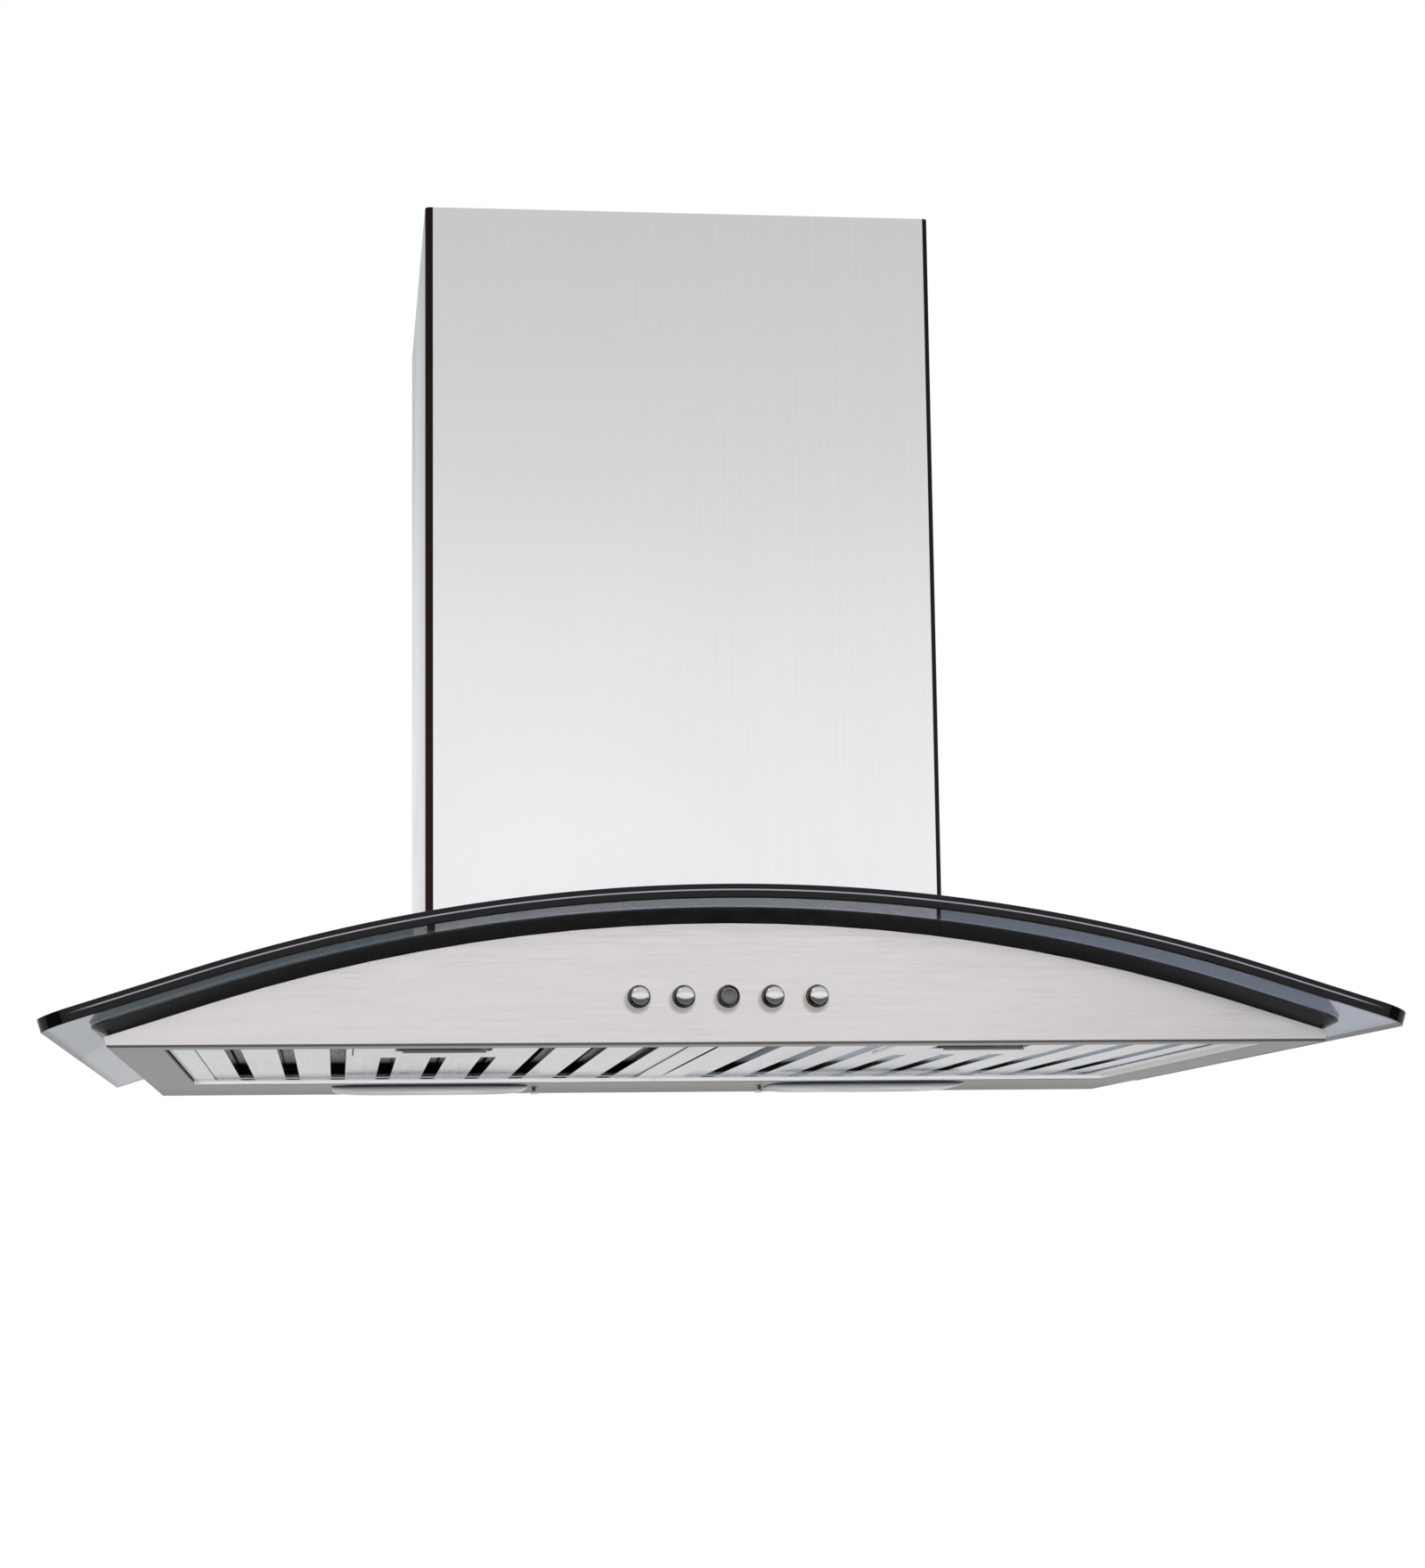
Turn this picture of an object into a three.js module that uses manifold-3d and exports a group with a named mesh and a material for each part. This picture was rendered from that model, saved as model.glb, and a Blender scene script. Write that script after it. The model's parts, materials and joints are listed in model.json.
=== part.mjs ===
// Wall-mounted chimney hood: an arched glass canopy over a shallow steel body with two baffle filters,
// push-button controls, two lamps, a centrifugal blower and a telescoping chimney cover.
// Millimetres, +Z up, +Y towards the wall, +X to the right of someone who faces the hood.
// The pieces are laid out with z = 0 at the hood's underside and y = 0 at the wall, then moved as one
// group so that the origin is the middle of the body's back face.
import * as THREE from "three";
import { mergeVertices } from "three/addons/utils/BufferGeometryUtils.js";
import Module from "manifold-3d";

const wasm = await Module();
wasm.setup();

// ---- Driving dimensions -------------------------------------------------------------------------

const GAP = 0.3; // clearance between pieces that touch
const SHEET = 1.2; // steel sheet of the body and the casing

const BODY = { width: 545, depth: 462, flare: 1.5, sideHeight: 4.2 };
const GLASS = { width: 600, depth: 500, thickness: 6, overhang: 44.5, corner: 14 };
const ARCH = { radius: 776, halfArc: 233, top: 67 }; // glass top: an arc with straight ends
const TRIM = { height: 7, reach: 7.3, lip: 1.3, inset: 3, corner: 4 };
const DECK = { drop: 10, openingHalf: 96, openingFront: -252, openingBack: -28 };

const BAY = { halfWidth: 249.2, front: 18, depth: 322, wall: 13 }; // filter bay in the underside
const FILTER = { recess: 1.6, height: 10, side: 8, end: 11, lip: 3, skin: 0.8, sideGap: 0.8, seam: 1.6 };
const PEG = { radius: 2, reach: 6.5, halfLength: 7, spread: 75, play: 0.5 };
const SLOTS = { count: 9, pitch: 24, width: 7.5, cover: 4.2, lip: 4.6, sheet: 1, tie: 8 };
const LATCH = { webDepth: 98, webHalf: 41, plateHalf: 30, tab: 31, tabHalf: 19, tongueHalf: 9, bite: 3 };

const CONTROLS = { count: 5, pitch: 20, height: 21.4, collar: 4.9, proud: 2.2, lampPlace: 2 };
const BUTTON = { radius: 4, proud: 7, skirt: 1.2, stem: 1.6, reach: 14, travel: 2.5, bore: 4.3 };
const SWITCHES = { face: 8, depth: 18, halfWidth: 50, halfHeight: 8, leg: 4 };

const LAMP = { spread: 121.8, y: -74, openingX: 92, openingY: 66, boxX: 112, boxY: 76, boxTop: 31 };
const LENS = { x: 108, y: 82, drop: 2.8, wall: 1.6, corner: 8, ear: 9, earHalf: 7 };
const BULB = { radius: 12.5, length: 74, cap: 7, height: 16.2 };

const CASING = { half: 104, front: -262, back: -14, top: 318 };
const BLOWER = { y: -142, z: 190, tongueRadius: 80, growth: 30, tongueAngle: 70, halfWidth: 52 };
const IMPELLER = { radius: 75, inner: 60, halfWidth: 48, blades: 18, eye: 58, hub: 14 };
const MOTOR = { radius: 44, from: -60, to: -9, shaft: 3.9, arm: 64 };
const COLLAR = { radius: 60, wall: 1.5, height: 45, flange: 74, flapHeight: 22, pivot: 4.5 };

const CHIMNEY = { half: 130, front: -291, back: -1.5, top: 438, sheet: 1, fold: 3, returns: 14 };
const UPPER = { play: 0.8, bottom: 92, drop: 1.5 };
const HOOKS = { z: 282, spread: 70, half: 10, plateHalf: 98, plateTop: 306 };

// Round shapes are cut into this many flats.
const FINE = 32;
const ROUND = 18;
const SMALL = 10;

// ---- Values that follow from them ---------------------------------------------------------------

const FRONT = -BODY.depth;
const HALF_BODY = BODY.width / 2;
const GLASS_FRONT = FRONT - GLASS.overhang;
const GLASS_BACK = GLASS_FRONT + GLASS.depth;
const PANEL_DROP = GLASS.thickness + TRIM.height;
const BACK_HEIGHT = ARCH.top - DECK.drop;
const ORIGIN_HEIGHT = BACK_HEIGHT / 2;

const BAY_FRONT = FRONT + BAY.front;
const BAY_BACK = BAY_FRONT + BAY.depth;
const HINGE_Y = BAY_BACK - PEG.reach;
const HINGE_Z = FILTER.recess + FILTER.height / 2;
const FILTER_FRONT = BAY_FRONT + FILTER.sideGap;
const FILTER_BACK = HINGE_Y + 3;
const FILTER_TOP = FILTER.recess + FILTER.height;
const FILTER_WIDTH = BAY.halfWidth - FILTER.sideGap - FILTER.seam / 2;
const FILTER_CENTRE = (FILTER.seam + FILTER_WIDTH) / 2;

// ---- Finishes -----------------------------------------------------------------------------------

const finish = (color, roughness, metalness, opacity = 1) =>
  new THREE.MeshStandardMaterial({ color, roughness, metalness, opacity, transparent: opacity < 1 });

const FINISHES = {
  panelSteel: finish(0xd3d1cd, 0.38, 1),
  bodySteel: finish(0xa09c98, 0.42, 1),
  mirrorSteel: finish(0xc4c6ca, 0.12, 1),
  chimneySteel: finish(0xd6d6d8, 0.2, 1),
  smokedGlass: finish(0x59646a, 0.04, 0, 0.5),
  blackTrim: finish(0x16171a, 0.35, 0),
  chrome: finish(0xe4e4e6, 0.08, 1),
  smokedLens: finish(0x4a4744, 0.2, 0),
  blueLens: finish(0xb4bccd, 0.25, 0, 0.7),
  clearBulb: finish(0xf2f2ee, 0.1, 0, 0.6),
  galvanised: finish(0x9fa3a6, 0.5, 1),
  blackPlastic: finish(0x1e1f21, 0.55, 0),
  whitePlastic: finish(0xe3e1da, 0.5, 0),
  rubber: finish(0x1a1a1a, 0.85, 0),
  springSteel: finish(0xb5b5b5, 0.3, 1),
  motorPaint: finish(0x3c4044, 0.45, 0.4),
};

// ---- Building blocks ----------------------------------------------------------------------------

function withWinding(positions, triangles, flipped) {
  const triVerts = new Uint32Array(triangles);
  if (flipped) {
    for (let i = 0; i < triVerts.length; i += 3) {
      [triVerts[i + 1], triVerts[i + 2]] = [triVerts[i + 2], triVerts[i + 1]];
    }
  }
  const mesh = new wasm.Mesh({ numProp: 3, vertProperties: positions, triVerts });
  return new wasm.Manifold(mesh);
}

// A closed geometry as a solid. A profile drawn the other way round is turned to face outwards.
function asSolid(piece) {
  if (!piece.isBufferGeometry) return piece;
  const bare = piece.index ? piece.toNonIndexed() : piece.clone();
  bare.deleteAttribute("normal");
  bare.deleteAttribute("uv");
  const merged = mergeVertices(bare, 1e-4);
  const positions = merged.attributes.position.array;
  const solid = withWinding(positions, merged.index.array, false);
  return solid.volume() < 0 ? withWinding(positions, merged.index.array, true) : solid;
}

const join = (...pieces) => pieces.map(asSolid).reduce((all, piece) => all.add(piece));
const cut = (base, ...tools) => tools.map(asSolid).reduce((rest, tool) => rest.subtract(tool), asSolid(base));
const common = (a, b) => asSolid(a).intersect(asSolid(b));

// Right-handed bases (u, v, w): an outline is drawn in (u, v) and extruded along w.
const BASES = {
  plan: new THREE.Matrix4(), // outline (x, y), extruded along +Z
  front: new THREE.Matrix4().set(1, 0, 0, 0, 0, 0, -1, 0, 0, 1, 0, 0, 0, 0, 0, 1), // outline (x, z), along Y
  side: new THREE.Matrix4().set(0, 0, 1, 0, 1, 0, 0, 0, 0, 1, 0, 0, 0, 0, 0, 1), // outline (y, z), along X
};

const points = (outline) => outline.map(([u, v]) => new THREE.Vector2(u, v));

// The ends are set rather than scaled, so pieces that meet in a plane share it to the last digit.
function prism(plane, outline, low, high, holes = []) {
  const shape = new THREE.Shape(points(outline));
  shape.holes = holes.map((hole) => new THREE.Path(points(hole)));
  const geometry = new THREE.ExtrudeGeometry(shape, { depth: 1, bevelEnabled: false });
  const ends = plane === "front" ? [-high, -low] : [low, high];
  const { position } = geometry.attributes;
  for (let i = 0; i < position.count; i++) position.setZ(i, ends[position.getZ(i) > 0.5 ? 1 : 0]);
  return geometry.applyMatrix4(BASES[plane]);
}

function block(x0, x1, y0, y1, z0, z1) {
  const [low, high] = [Math.min(x0, x1), Math.max(x0, x1)];
  const geometry = new THREE.BoxGeometry(1, 1, 1);
  const { position } = geometry.attributes;
  for (let i = 0; i < position.count; i++) {
    const x = position.getX(i) > 0 ? high : low;
    const y = position.getY(i) > 0 ? y1 : y0;
    const z = position.getZ(i) > 0 ? z1 : z0;
    position.setXYZ(i, x, y, z);
  }
  return geometry;
}

function circle(u, v, radius, flats) {
  return Array.from({ length: flats }, (_, i) => {
    const angle = (2 * Math.PI * i) / flats;
    return [u + radius * Math.cos(angle), v + radius * Math.sin(angle)];
  });
}

// A rod along x, y or z through the two other coordinates.
function rod(axis, u, v, radius, low, high, flats = ROUND) {
  const plane = { x: "side", y: "front", z: "plan" }[axis];
  return prism(plane, circle(u, v, radius, flats), low, high);
}

// A rectangle with its own radius at each corner, anticlockwise from the low corner.
function roundedRectangle(x0, x1, y0, y1, radii, steps = 5) {
  const corners = [
    [x0, y0, 180],
    [x1, y0, 270],
    [x1, y1, 0],
    [x0, y1, 90],
  ];
  return corners.flatMap(([x, y, start], i) => {
    const radius = radii[i];
    if (radius === 0) return [[x, y]];
    const u = x + (i === 0 || i === 3 ? radius : -radius);
    const v = y + (i < 2 ? radius : -radius);
    return Array.from({ length: steps + 1 }, (_, k) => {
      const angle = THREE.MathUtils.degToRad(start + (90 * k) / steps);
      return [u + radius * Math.cos(angle), v + radius * Math.sin(angle)];
    });
  });
}

// Turned piece: (radius, height) points from one end of the axis to the other, or a closed ring.
function turned(points, flats = ROUND) {
  return new THREE.LatheGeometry(points.map(([r, h]) => new THREE.Vector2(r, h)), flats);
}

// A turned piece points along +Y; this stands it along +Z.
const standing = (geometry, x, y, z) => geometry.rotateX(Math.PI / 2).translate(x, y, z);

// Rings of points carried along a path, with flat ends. The outline is the ring's own 2-D section.
function loft(rings, outline) {
  const count = outline.length;
  const triangles = [];
  for (let i = 0; i + 1 < rings.length; i++) {
    for (let j = 0; j < count; j++) {
      const a = i * count + j;
      const b = i * count + ((j + 1) % count);
      triangles.push(a, b, b + count, a, b + count, a + count);
    }
  }
  const cap = THREE.ShapeUtils.triangulateShape(points(outline), []);
  const last = (rings.length - 1) * count;
  const clockwise = THREE.ShapeUtils.area(points(outline)) < 0;
  for (const [a, b, c] of cap) {
    triangles.push(...(clockwise ? [a, b, c] : [a, c, b]));
    triangles.push(...(clockwise ? [last + a, last + c, last + b] : [last + a, last + b, last + c]));
  }
  const geometry = new THREE.BufferGeometry();
  geometry.setAttribute("position", new THREE.Float32BufferAttribute(rings.flat(2), 3));
  geometry.setIndex(triangles);
  return geometry;
}

class Coil extends THREE.Curve {
  constructor(radius, length, turns) {
    super();
    Object.assign(this, { radius, length, turns });
  }
  getPoint(t, target = new THREE.Vector3()) {
    const angle = 2 * Math.PI * this.turns * t;
    return target.set(this.radius * Math.cos(angle), this.length * t, this.radius * Math.sin(angle));
  }
}

// A compression spring that stands along +Y from the origin.
function spring(length, radius, wire, turns) {
  const path = new Coil(radius, length - 2 * wire, turns);
  const section = new THREE.Shape(points(circle(0, 0, wire, 4)));
  const geometry = new THREE.ExtrudeGeometry(section, { steps: turns * 8, extrudePath: path });
  return geometry.translate(0, wire, 0);
}

// ---- The arch -----------------------------------------------------------------------------------

const ARCH_ANGLE = Math.asin(ARCH.halfArc / ARCH.radius);

// Height, at x, of the surface that lies `drop` below the top of the glass, measured square to it.
function archHeight(x, drop) {
  const radius = ARCH.radius - drop;
  const edge = radius * Math.sin(ARCH_ANGLE);
  const across = Math.abs(x);
  const centre = ARCH.top - ARCH.radius;
  if (across <= edge) return centre + Math.sqrt(radius * radius - across * across);
  return centre + radius * Math.cos(ARCH_ANGLE) - (across - edge) * Math.tan(ARCH_ANGLE);
}

const archLine = (half, drop, steps = 24) =>
  Array.from({ length: steps + 1 }, (_, i) => {
    const x = half * ((2 * i) / steps - 1);
    return [x, archHeight(x, drop)];
  });

function archSheet(half, drop, thickness, y0, y1) {
  const outline = [...archLine(half, drop), ...archLine(half, drop + thickness).reverse()];
  return prism("front", outline, y0, y1);
}

// Everything under the arched surface, down to `floor`.
const underArch = (half, drop, floor, y0, y1) =>
  prism("front", [...archLine(half, drop), [half, floor], [-half, floor]], y0, y1);

// Turns a piece modelled about +Z so that it stands square to the glass at (x, y).
const squareToGlass = (geometry, x, y) =>
  geometry.rotateY(Math.asin(x / ARCH.radius)).translate(x, y, archHeight(x, 0));

// ---- The group ----------------------------------------------------------------------------------

const hood = new THREE.Group();
hood.position.z = -ORIGIN_HEIGHT;

// Each assembly is laid out in the hood's own directions about the place given here.
function assembly(x, y, z) {
  const group = new THREE.Group();
  group.position.set(x, y, z);
  hood.add(group);
  return group;
}

function part(place, name, piece, material) {
  const { numProp, vertProperties, triVerts } = asSolid(piece).getMesh();
  const geometry = new THREE.BufferGeometry();
  const positions = new Float32Array((vertProperties.length / numProp) * 3);
  for (let i = 0; i < positions.length / 3; i++) {
    positions.set(vertProperties.subarray(i * numProp, i * numProp + 3), i * 3);
  }
  geometry.setAttribute("position", new THREE.BufferAttribute(positions, 3));
  geometry.setIndex(new THREE.BufferAttribute(triVerts, 1));
  geometry.computeVertexNormals();
  const mesh = new THREE.Mesh(geometry, material.clone());
  mesh.name = name;
  place.add(mesh);
}

const SIDES = [
  { name: "left", sign: -1 },
  { name: "right", sign: 1 },
];

// ---- Glass, its pads and screws ------------------------------------------------------------------

const SCREW = { x: 117, ys: [-277, -60], radius: 2.5, head: 5.5 };
const PAD = { half: 7, front: -286, back: -22 };

const screwHole = (x, y, radius) =>
  squareToGlass(rod("z", 0, 0, radius, -DECK.drop - 8, 8, SMALL), x, y);

function glassCanopy() {
  const half = GLASS.width / 2;
  const corners = [GLASS.corner, GLASS.corner, 0, 0];
  const plan = roundedRectangle(-half, half, GLASS_FRONT, GLASS_BACK, corners);
  const notch = CASING.half + 3;
  const slab = common(
    archSheet(half, 0, GLASS.thickness, GLASS_FRONT - 1, GLASS_BACK + 1),
    prism("plan", plan, -ARCH.radius, ARCH.top + 1),
  );
  const bore = SCREW.radius + 0.7;
  const holes = SIDES.flatMap(({ sign }) => SCREW.ys.map((y) => screwHole(sign * SCREW.x, y, bore)));
  const opening = block(-notch, notch, CASING.front - 3, GLASS_BACK + 2, 0, ARCH.top + 9);
  return cut(slab, opening, ...holes);
}

function glassPad(sign) {
  const inner = SCREW.x - PAD.half;
  const outer = SCREW.x + PAD.half;
  const top = GLASS.thickness + GAP;
  const bottom = DECK.drop - GAP;
  const xs = [inner, SCREW.x, outer].map((x) => sign * x);
  const upperEdge = xs.map((x) => [x, archHeight(x, top)]);
  const lowerEdge = xs.map((x) => [x, archHeight(x, bottom)]).reverse();
  const outline = [...upperEdge, ...lowerEdge];
  const strip = prism("front", outline, PAD.front, PAD.back);
  return cut(strip, ...SCREW.ys.map((y) => screwHole(sign * SCREW.x, y, SCREW.radius + 0.5)));
}

function glassScrew(x, y) {
  const profile = [
    [0, 3.2],
    [3.4, 3],
    [SCREW.head, 1.4],
    [SCREW.head, 0.8],
    [7.2, 0.8],
    [7.2, GAP],
    [SCREW.radius, GAP],
    [SCREW.radius, -DECK.drop - 5],
    [0, -DECK.drop - 5],
  ];
  return squareToGlass(turned(profile, SMALL).rotateX(Math.PI / 2), x, y);
}

// The trim is one cove section carried round the body's front and sides. In the section, `out` is
// measured outwards from the body's outline and `drop` down from the top of the glass.
function glassTrim() {
  const top = GLASS.thickness + GAP;
  const bottom = PANEL_DROP - GAP;
  const cove = Array.from({ length: 4 }, (_, i) => {
    const angle = (Math.PI / 2) * (i / 3);
    const out = TRIM.reach - 1 - (TRIM.reach - 1.2) * Math.sin(angle);
    return [out, bottom - (bottom - top - TRIM.lip) * Math.cos(angle)];
  });
  const flat = [[-TRIM.inset, top], [TRIM.reach, top], [TRIM.reach, top + TRIM.lip]];
  const section = [...flat, ...cove, [-TRIM.inset, bottom]];
  const path = [[-HALF_BODY, GLASS_BACK, -1, 0]];
  for (const { sign } of SIDES) {
    const steps = 3;
    for (let i = 0; i <= steps; i++) {
      const angle = (Math.PI / 2) * (i / steps);
      const nx = sign * (sign < 0 ? Math.cos(angle) : Math.sin(angle));
      const ny = -(sign < 0 ? Math.sin(angle) : Math.cos(angle));
      const x = sign * (HALF_BODY - TRIM.corner) + TRIM.corner * nx;
      path.push([x, FRONT + TRIM.corner + TRIM.corner * ny, nx, ny]);
    }
    if (sign < 0) {
      const reach = HALF_BODY - TRIM.corner;
      const straight = archLine(reach, 0).slice(1, -1);
      path.push(...straight.map(([x]) => [x, FRONT, 0, -1]));
    }
  }
  path.push([HALF_BODY, GLASS_BACK, 1, 0]);
  const rings = path.map(([x, y, nx, ny]) =>
    section.map(([out, drop]) => [x + nx * out, y + ny * out, archHeight(x + nx * out, drop)]),
  );
  return loft(rings, section);
}

function addGlass() {
  const place = assembly(0, 0, 0);
  part(place, "glass_canopy", glassCanopy(), FINISHES.smokedGlass);
  part(place, "glass_trim", glassTrim(), FINISHES.blackTrim);
  for (const { name, sign } of SIDES) {
    part(place, "glass_pad_" + name, glassPad(sign), FINISHES.rubber);
    SCREW.ys.forEach((y, i) => {
      part(place, "glass_screw_" + name + "_" + (i + 1), glassScrew(sign * SCREW.x, y), FINISHES.chrome);
    });
  }
}

// ---- Body ----------------------------------------------------------------------------------------

const controlX = (i) => (i - (CONTROLS.count - 1) / 2) * CONTROLS.pitch;
const controlPlaces = Array.from({ length: CONTROLS.count }, (_, i) => controlX(i));

function frontPanel() {
  const top = archLine(HALF_BODY, PANEL_DROP);
  const flare = HALF_BODY + BODY.flare;
  top[0] = [-flare, archHeight(flare, PANEL_DROP)];
  top[top.length - 1] = [flare, archHeight(flare, PANEL_DROP)];
  const outline = [[HALF_BODY, 0], [-HALF_BODY, 0], ...top];
  const holes = controlPlaces.map((x) => circle(x, CONTROLS.height, CONTROLS.collar + GAP, ROUND));
  return prism("front", outline, FRONT, FRONT + SHEET, holes);
}

const WALL_HALF = HALF_BODY - TRIM.inset - 0.4;
const WALL_FRONT = FRONT + TRIM.inset + 0.4;

function canopyShell() {
  const floor = SHEET + 0.4;
  const full = underArch(WALL_HALF, DECK.drop, floor, WALL_FRONT, 0);
  const inner = underArch(WALL_HALF - SHEET, DECK.drop + SHEET, floor - 1, WALL_FRONT + SHEET, -SHEET);
  const opening = block(-DECK.openingHalf, DECK.openingHalf, DECK.openingFront, DECK.openingBack, 20, 90);
  const window = block(-70, 70, WALL_FRONT - 1, WALL_FRONT + SHEET + 1, 9, 36);
  const bore = SCREW.radius + 0.4;
  const holes = SIDES.flatMap(({ sign }) => SCREW.ys.map((y) => screwHole(sign * SCREW.x, y, bore)));
  const frontGap = block(-WALL_HALF - 1, WALL_HALF + 1, WALL_FRONT - 1, WALL_FRONT + SHEET + 1, 0, 6);
  return cut(full, inner, opening, window, frontGap, ...holes);
}

const pegPlaces = SIDES.flatMap(({ sign }) => [-PEG.spread, PEG.spread].map((x) => sign * FILTER_CENTRE + x));
const lensEnd = (sign) => sign * (LAMP.spread + LENS.x / 2);
const lensScrewX = (sign) => sign * (LAMP.spread - LENS.x / 2 - LENS.ear / 2);
const TAB = { half: 6, slot: 4.4, spread: 26, hook: 3.4 };

function undersidePan() {
  const outer = HALF_BODY - 0.2;
  const front = FRONT + SHEET + GAP;
  const { halfWidth, wall } = BAY;
  const inner = outer - SHEET;
  const fold = [
    [-outer, 0],
    [outer, 0],
    [outer, BODY.sideHeight],
    [inner, BODY.sideHeight],
    [inner, SHEET],
    [-inner, SHEET],
    [-inner, BODY.sideHeight],
    [-outer, BODY.sideHeight],
  ];
  const plate = prism("front", fold, front, 0);
  const box = block(-halfWidth - SHEET, halfWidth + SHEET, BAY_FRONT - SHEET, BAY_BACK + SHEET, 0, wall);
  const bay = block(-halfWidth, halfWidth, BAY_FRONT, BAY_BACK, -1, wall + 1);
  const tongueSlots = SIDES.map(({ sign }) => {
    const x = sign * FILTER_CENTRE;
    const half = LATCH.tongueHalf + 1.5;
    const foot = FILTER.recess + 0.6;
    return block(x - half, x + half, BAY_FRONT - SHEET - 1, BAY_FRONT + 1, foot, foot + 3.8);
  });
  const pegs = pegPlaces.flatMap((x) => [
    rod("x", HINGE_Y, HINGE_Z, PEG.radius, x - PEG.halfLength, x + PEG.halfLength, SMALL),
    block(x - PEG.halfLength, x + PEG.halfLength, HINGE_Y, BAY_BACK + 0.5, HINGE_Z - 0.7, HINGE_Z + 0.7),
  ]);
  const lampCuts = SIDES.flatMap(({ sign }) => {
    const x = sign * LAMP.spread;
    const { openingX, openingY, y } = LAMP;
    const slotFrom = lensEnd(sign);
    return [
      block(x - openingX / 2, x + openingX / 2, y - openingY / 2, y + openingY / 2, -1, SHEET + 1),
      rod("z", lensScrewX(sign), y, 2.1, -1, SHEET + 1, SMALL),
      ...[-TAB.spread, TAB.spread].map((dy) =>
        block(
          slotFrom,
          slotFrom - sign * TAB.slot,
          y + dy - TAB.half - 0.5,
          y + dy + TAB.half + 0.5,
          -1,
          SHEET + 1,
        ),
      ),
    ];
  });
  return join(cut(join(plate, box), bay, ...tongueSlots, ...lampCuts), ...pegs);
}

function addBody() {
  const place = assembly(0, 0, 0);
  part(place, "front_panel", frontPanel(), FINISHES.panelSteel);
  part(place, "canopy_shell", canopyShell(), FINISHES.galvanised);
  part(place, "underside_pan", undersidePan(), FINISHES.bodySteel);
}

// ---- Baffle filters ------------------------------------------------------------------------------

const FILTER_INNER = {
  half: FILTER_WIDTH / 2 - FILTER.side,
  front: FILTER_FRONT + FILTER.end,
  back: FILTER_BACK - FILTER.end,
};
const LATCH_END = FILTER_FRONT + LATCH.webDepth;
const TAB_Y = FILTER_FRONT + LATCH.tab;
const STOP_Y = TAB_Y + 21;

function filterFrame() {
  const { recess, side, lip, skin } = FILTER;
  const half = FILTER_WIDTH / 2;
  const { front, back } = FILTER_INNER;
  const x0 = -half + side;
  const x1 = half - side;
  const ring = cut(
    block(-half, half, FILTER_FRONT, FILTER_BACK, recess, FILTER_TOP),
    block(x0, x1, front, back, recess + skin, FILTER_TOP - skin),
    block(x0 + lip, x1 - lip, front + lip, back - lip, recess - 1, FILTER_TOP + 1),
    block(-LATCH.tongueHalf - 1, LATCH.tongueHalf + 1, FILTER_FRONT - 1, front + 1, recess + 1, recess + 3.8),
  );
  const web = cut(
    block(-LATCH.webHalf, LATCH.webHalf, front - 0.5, LATCH_END, recess, recess + SHEET),
    block(-22, 22, front + 2, STOP_Y - 4, recess - 1, recess + 3),
  );
  const stop = block(-12, 12, STOP_Y, STOP_Y + SHEET, recess, recess + 8.4);
  const guides = [-1, 1].flatMap((way) => {
    const outside = way * (LATCH.plateHalf + 3);
    const wall = way * (LATCH.plateHalf + GAP);
    const hold = way * (LATCH.plateHalf - 3);
    return [
      block(wall, outside, front + 4, STOP_Y - 4, recess, recess + 4.8),
      block(hold, outside, front + 4, STOP_Y - 4, recess + 3.6, recess + 4.8),
    ];
  });
  const hooks = [-PEG.spread, PEG.spread].flatMap((x) => {
    const reach = PEG.halfLength + 1.5;
    const round = PEG.radius + PEG.play;
    return [
      rod("x", HINGE_Y, HINGE_Z, round, x - reach, x + reach, SMALL),
      block(x - reach, x + reach, HINGE_Y - round, FILTER_BACK + 1, recess - 1, HINGE_Z + 1.1),
    ];
  });
  return cut(join(ring, web, stop, ...guides), ...hooks);
}

const slotPlaces = Array.from({ length: SLOTS.count }, (_, i) => (i - (SLOTS.count - 1) / 2) * SLOTS.pitch);

// What is cut away between two ties: a slot of half width `half` about x, front to back.
const slot = (x, half, front, back, z) =>
  block(x - half, x + half, front + SLOTS.tie, back - SLOTS.tie, z - 1, z + SLOTS.sheet + 1);

const latchRoom = () =>
  block(-LATCH.webHalf - 0.5, LATCH.webHalf + 0.5, FILTER_FRONT, LATCH_END + 0.5, 0, 20);

function lowerBaffles() {
  const { half } = FILTER_INNER;
  const front = FILTER_INNER.front + GAP;
  const back = FILTER_INNER.back - GAP;
  const base = FILTER.recess + FILTER.skin + GAP;
  const edges = [
    -half + GAP,
    ...slotPlaces.flatMap((x) => [x - SLOTS.width / 2, x + SLOTS.width / 2]),
    half - GAP,
  ];
  const plate = block(edges[0], edges[edges.length - 1], front, back, base, base + SLOTS.sheet);
  const slots = slotPlaces.map((x) => slot(x, SLOTS.width / 2, front, back, base));
  const lips = edges.map((x, i) => {
    const inwards = i % 2 === 0 ? SLOTS.sheet : -SLOTS.sheet;
    return block(x, x + inwards, front + 2, back - 2, base + 0.5, base + SLOTS.lip);
  });
  return cut(join(cut(plate, ...slots), ...lips), latchRoom());
}

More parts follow.
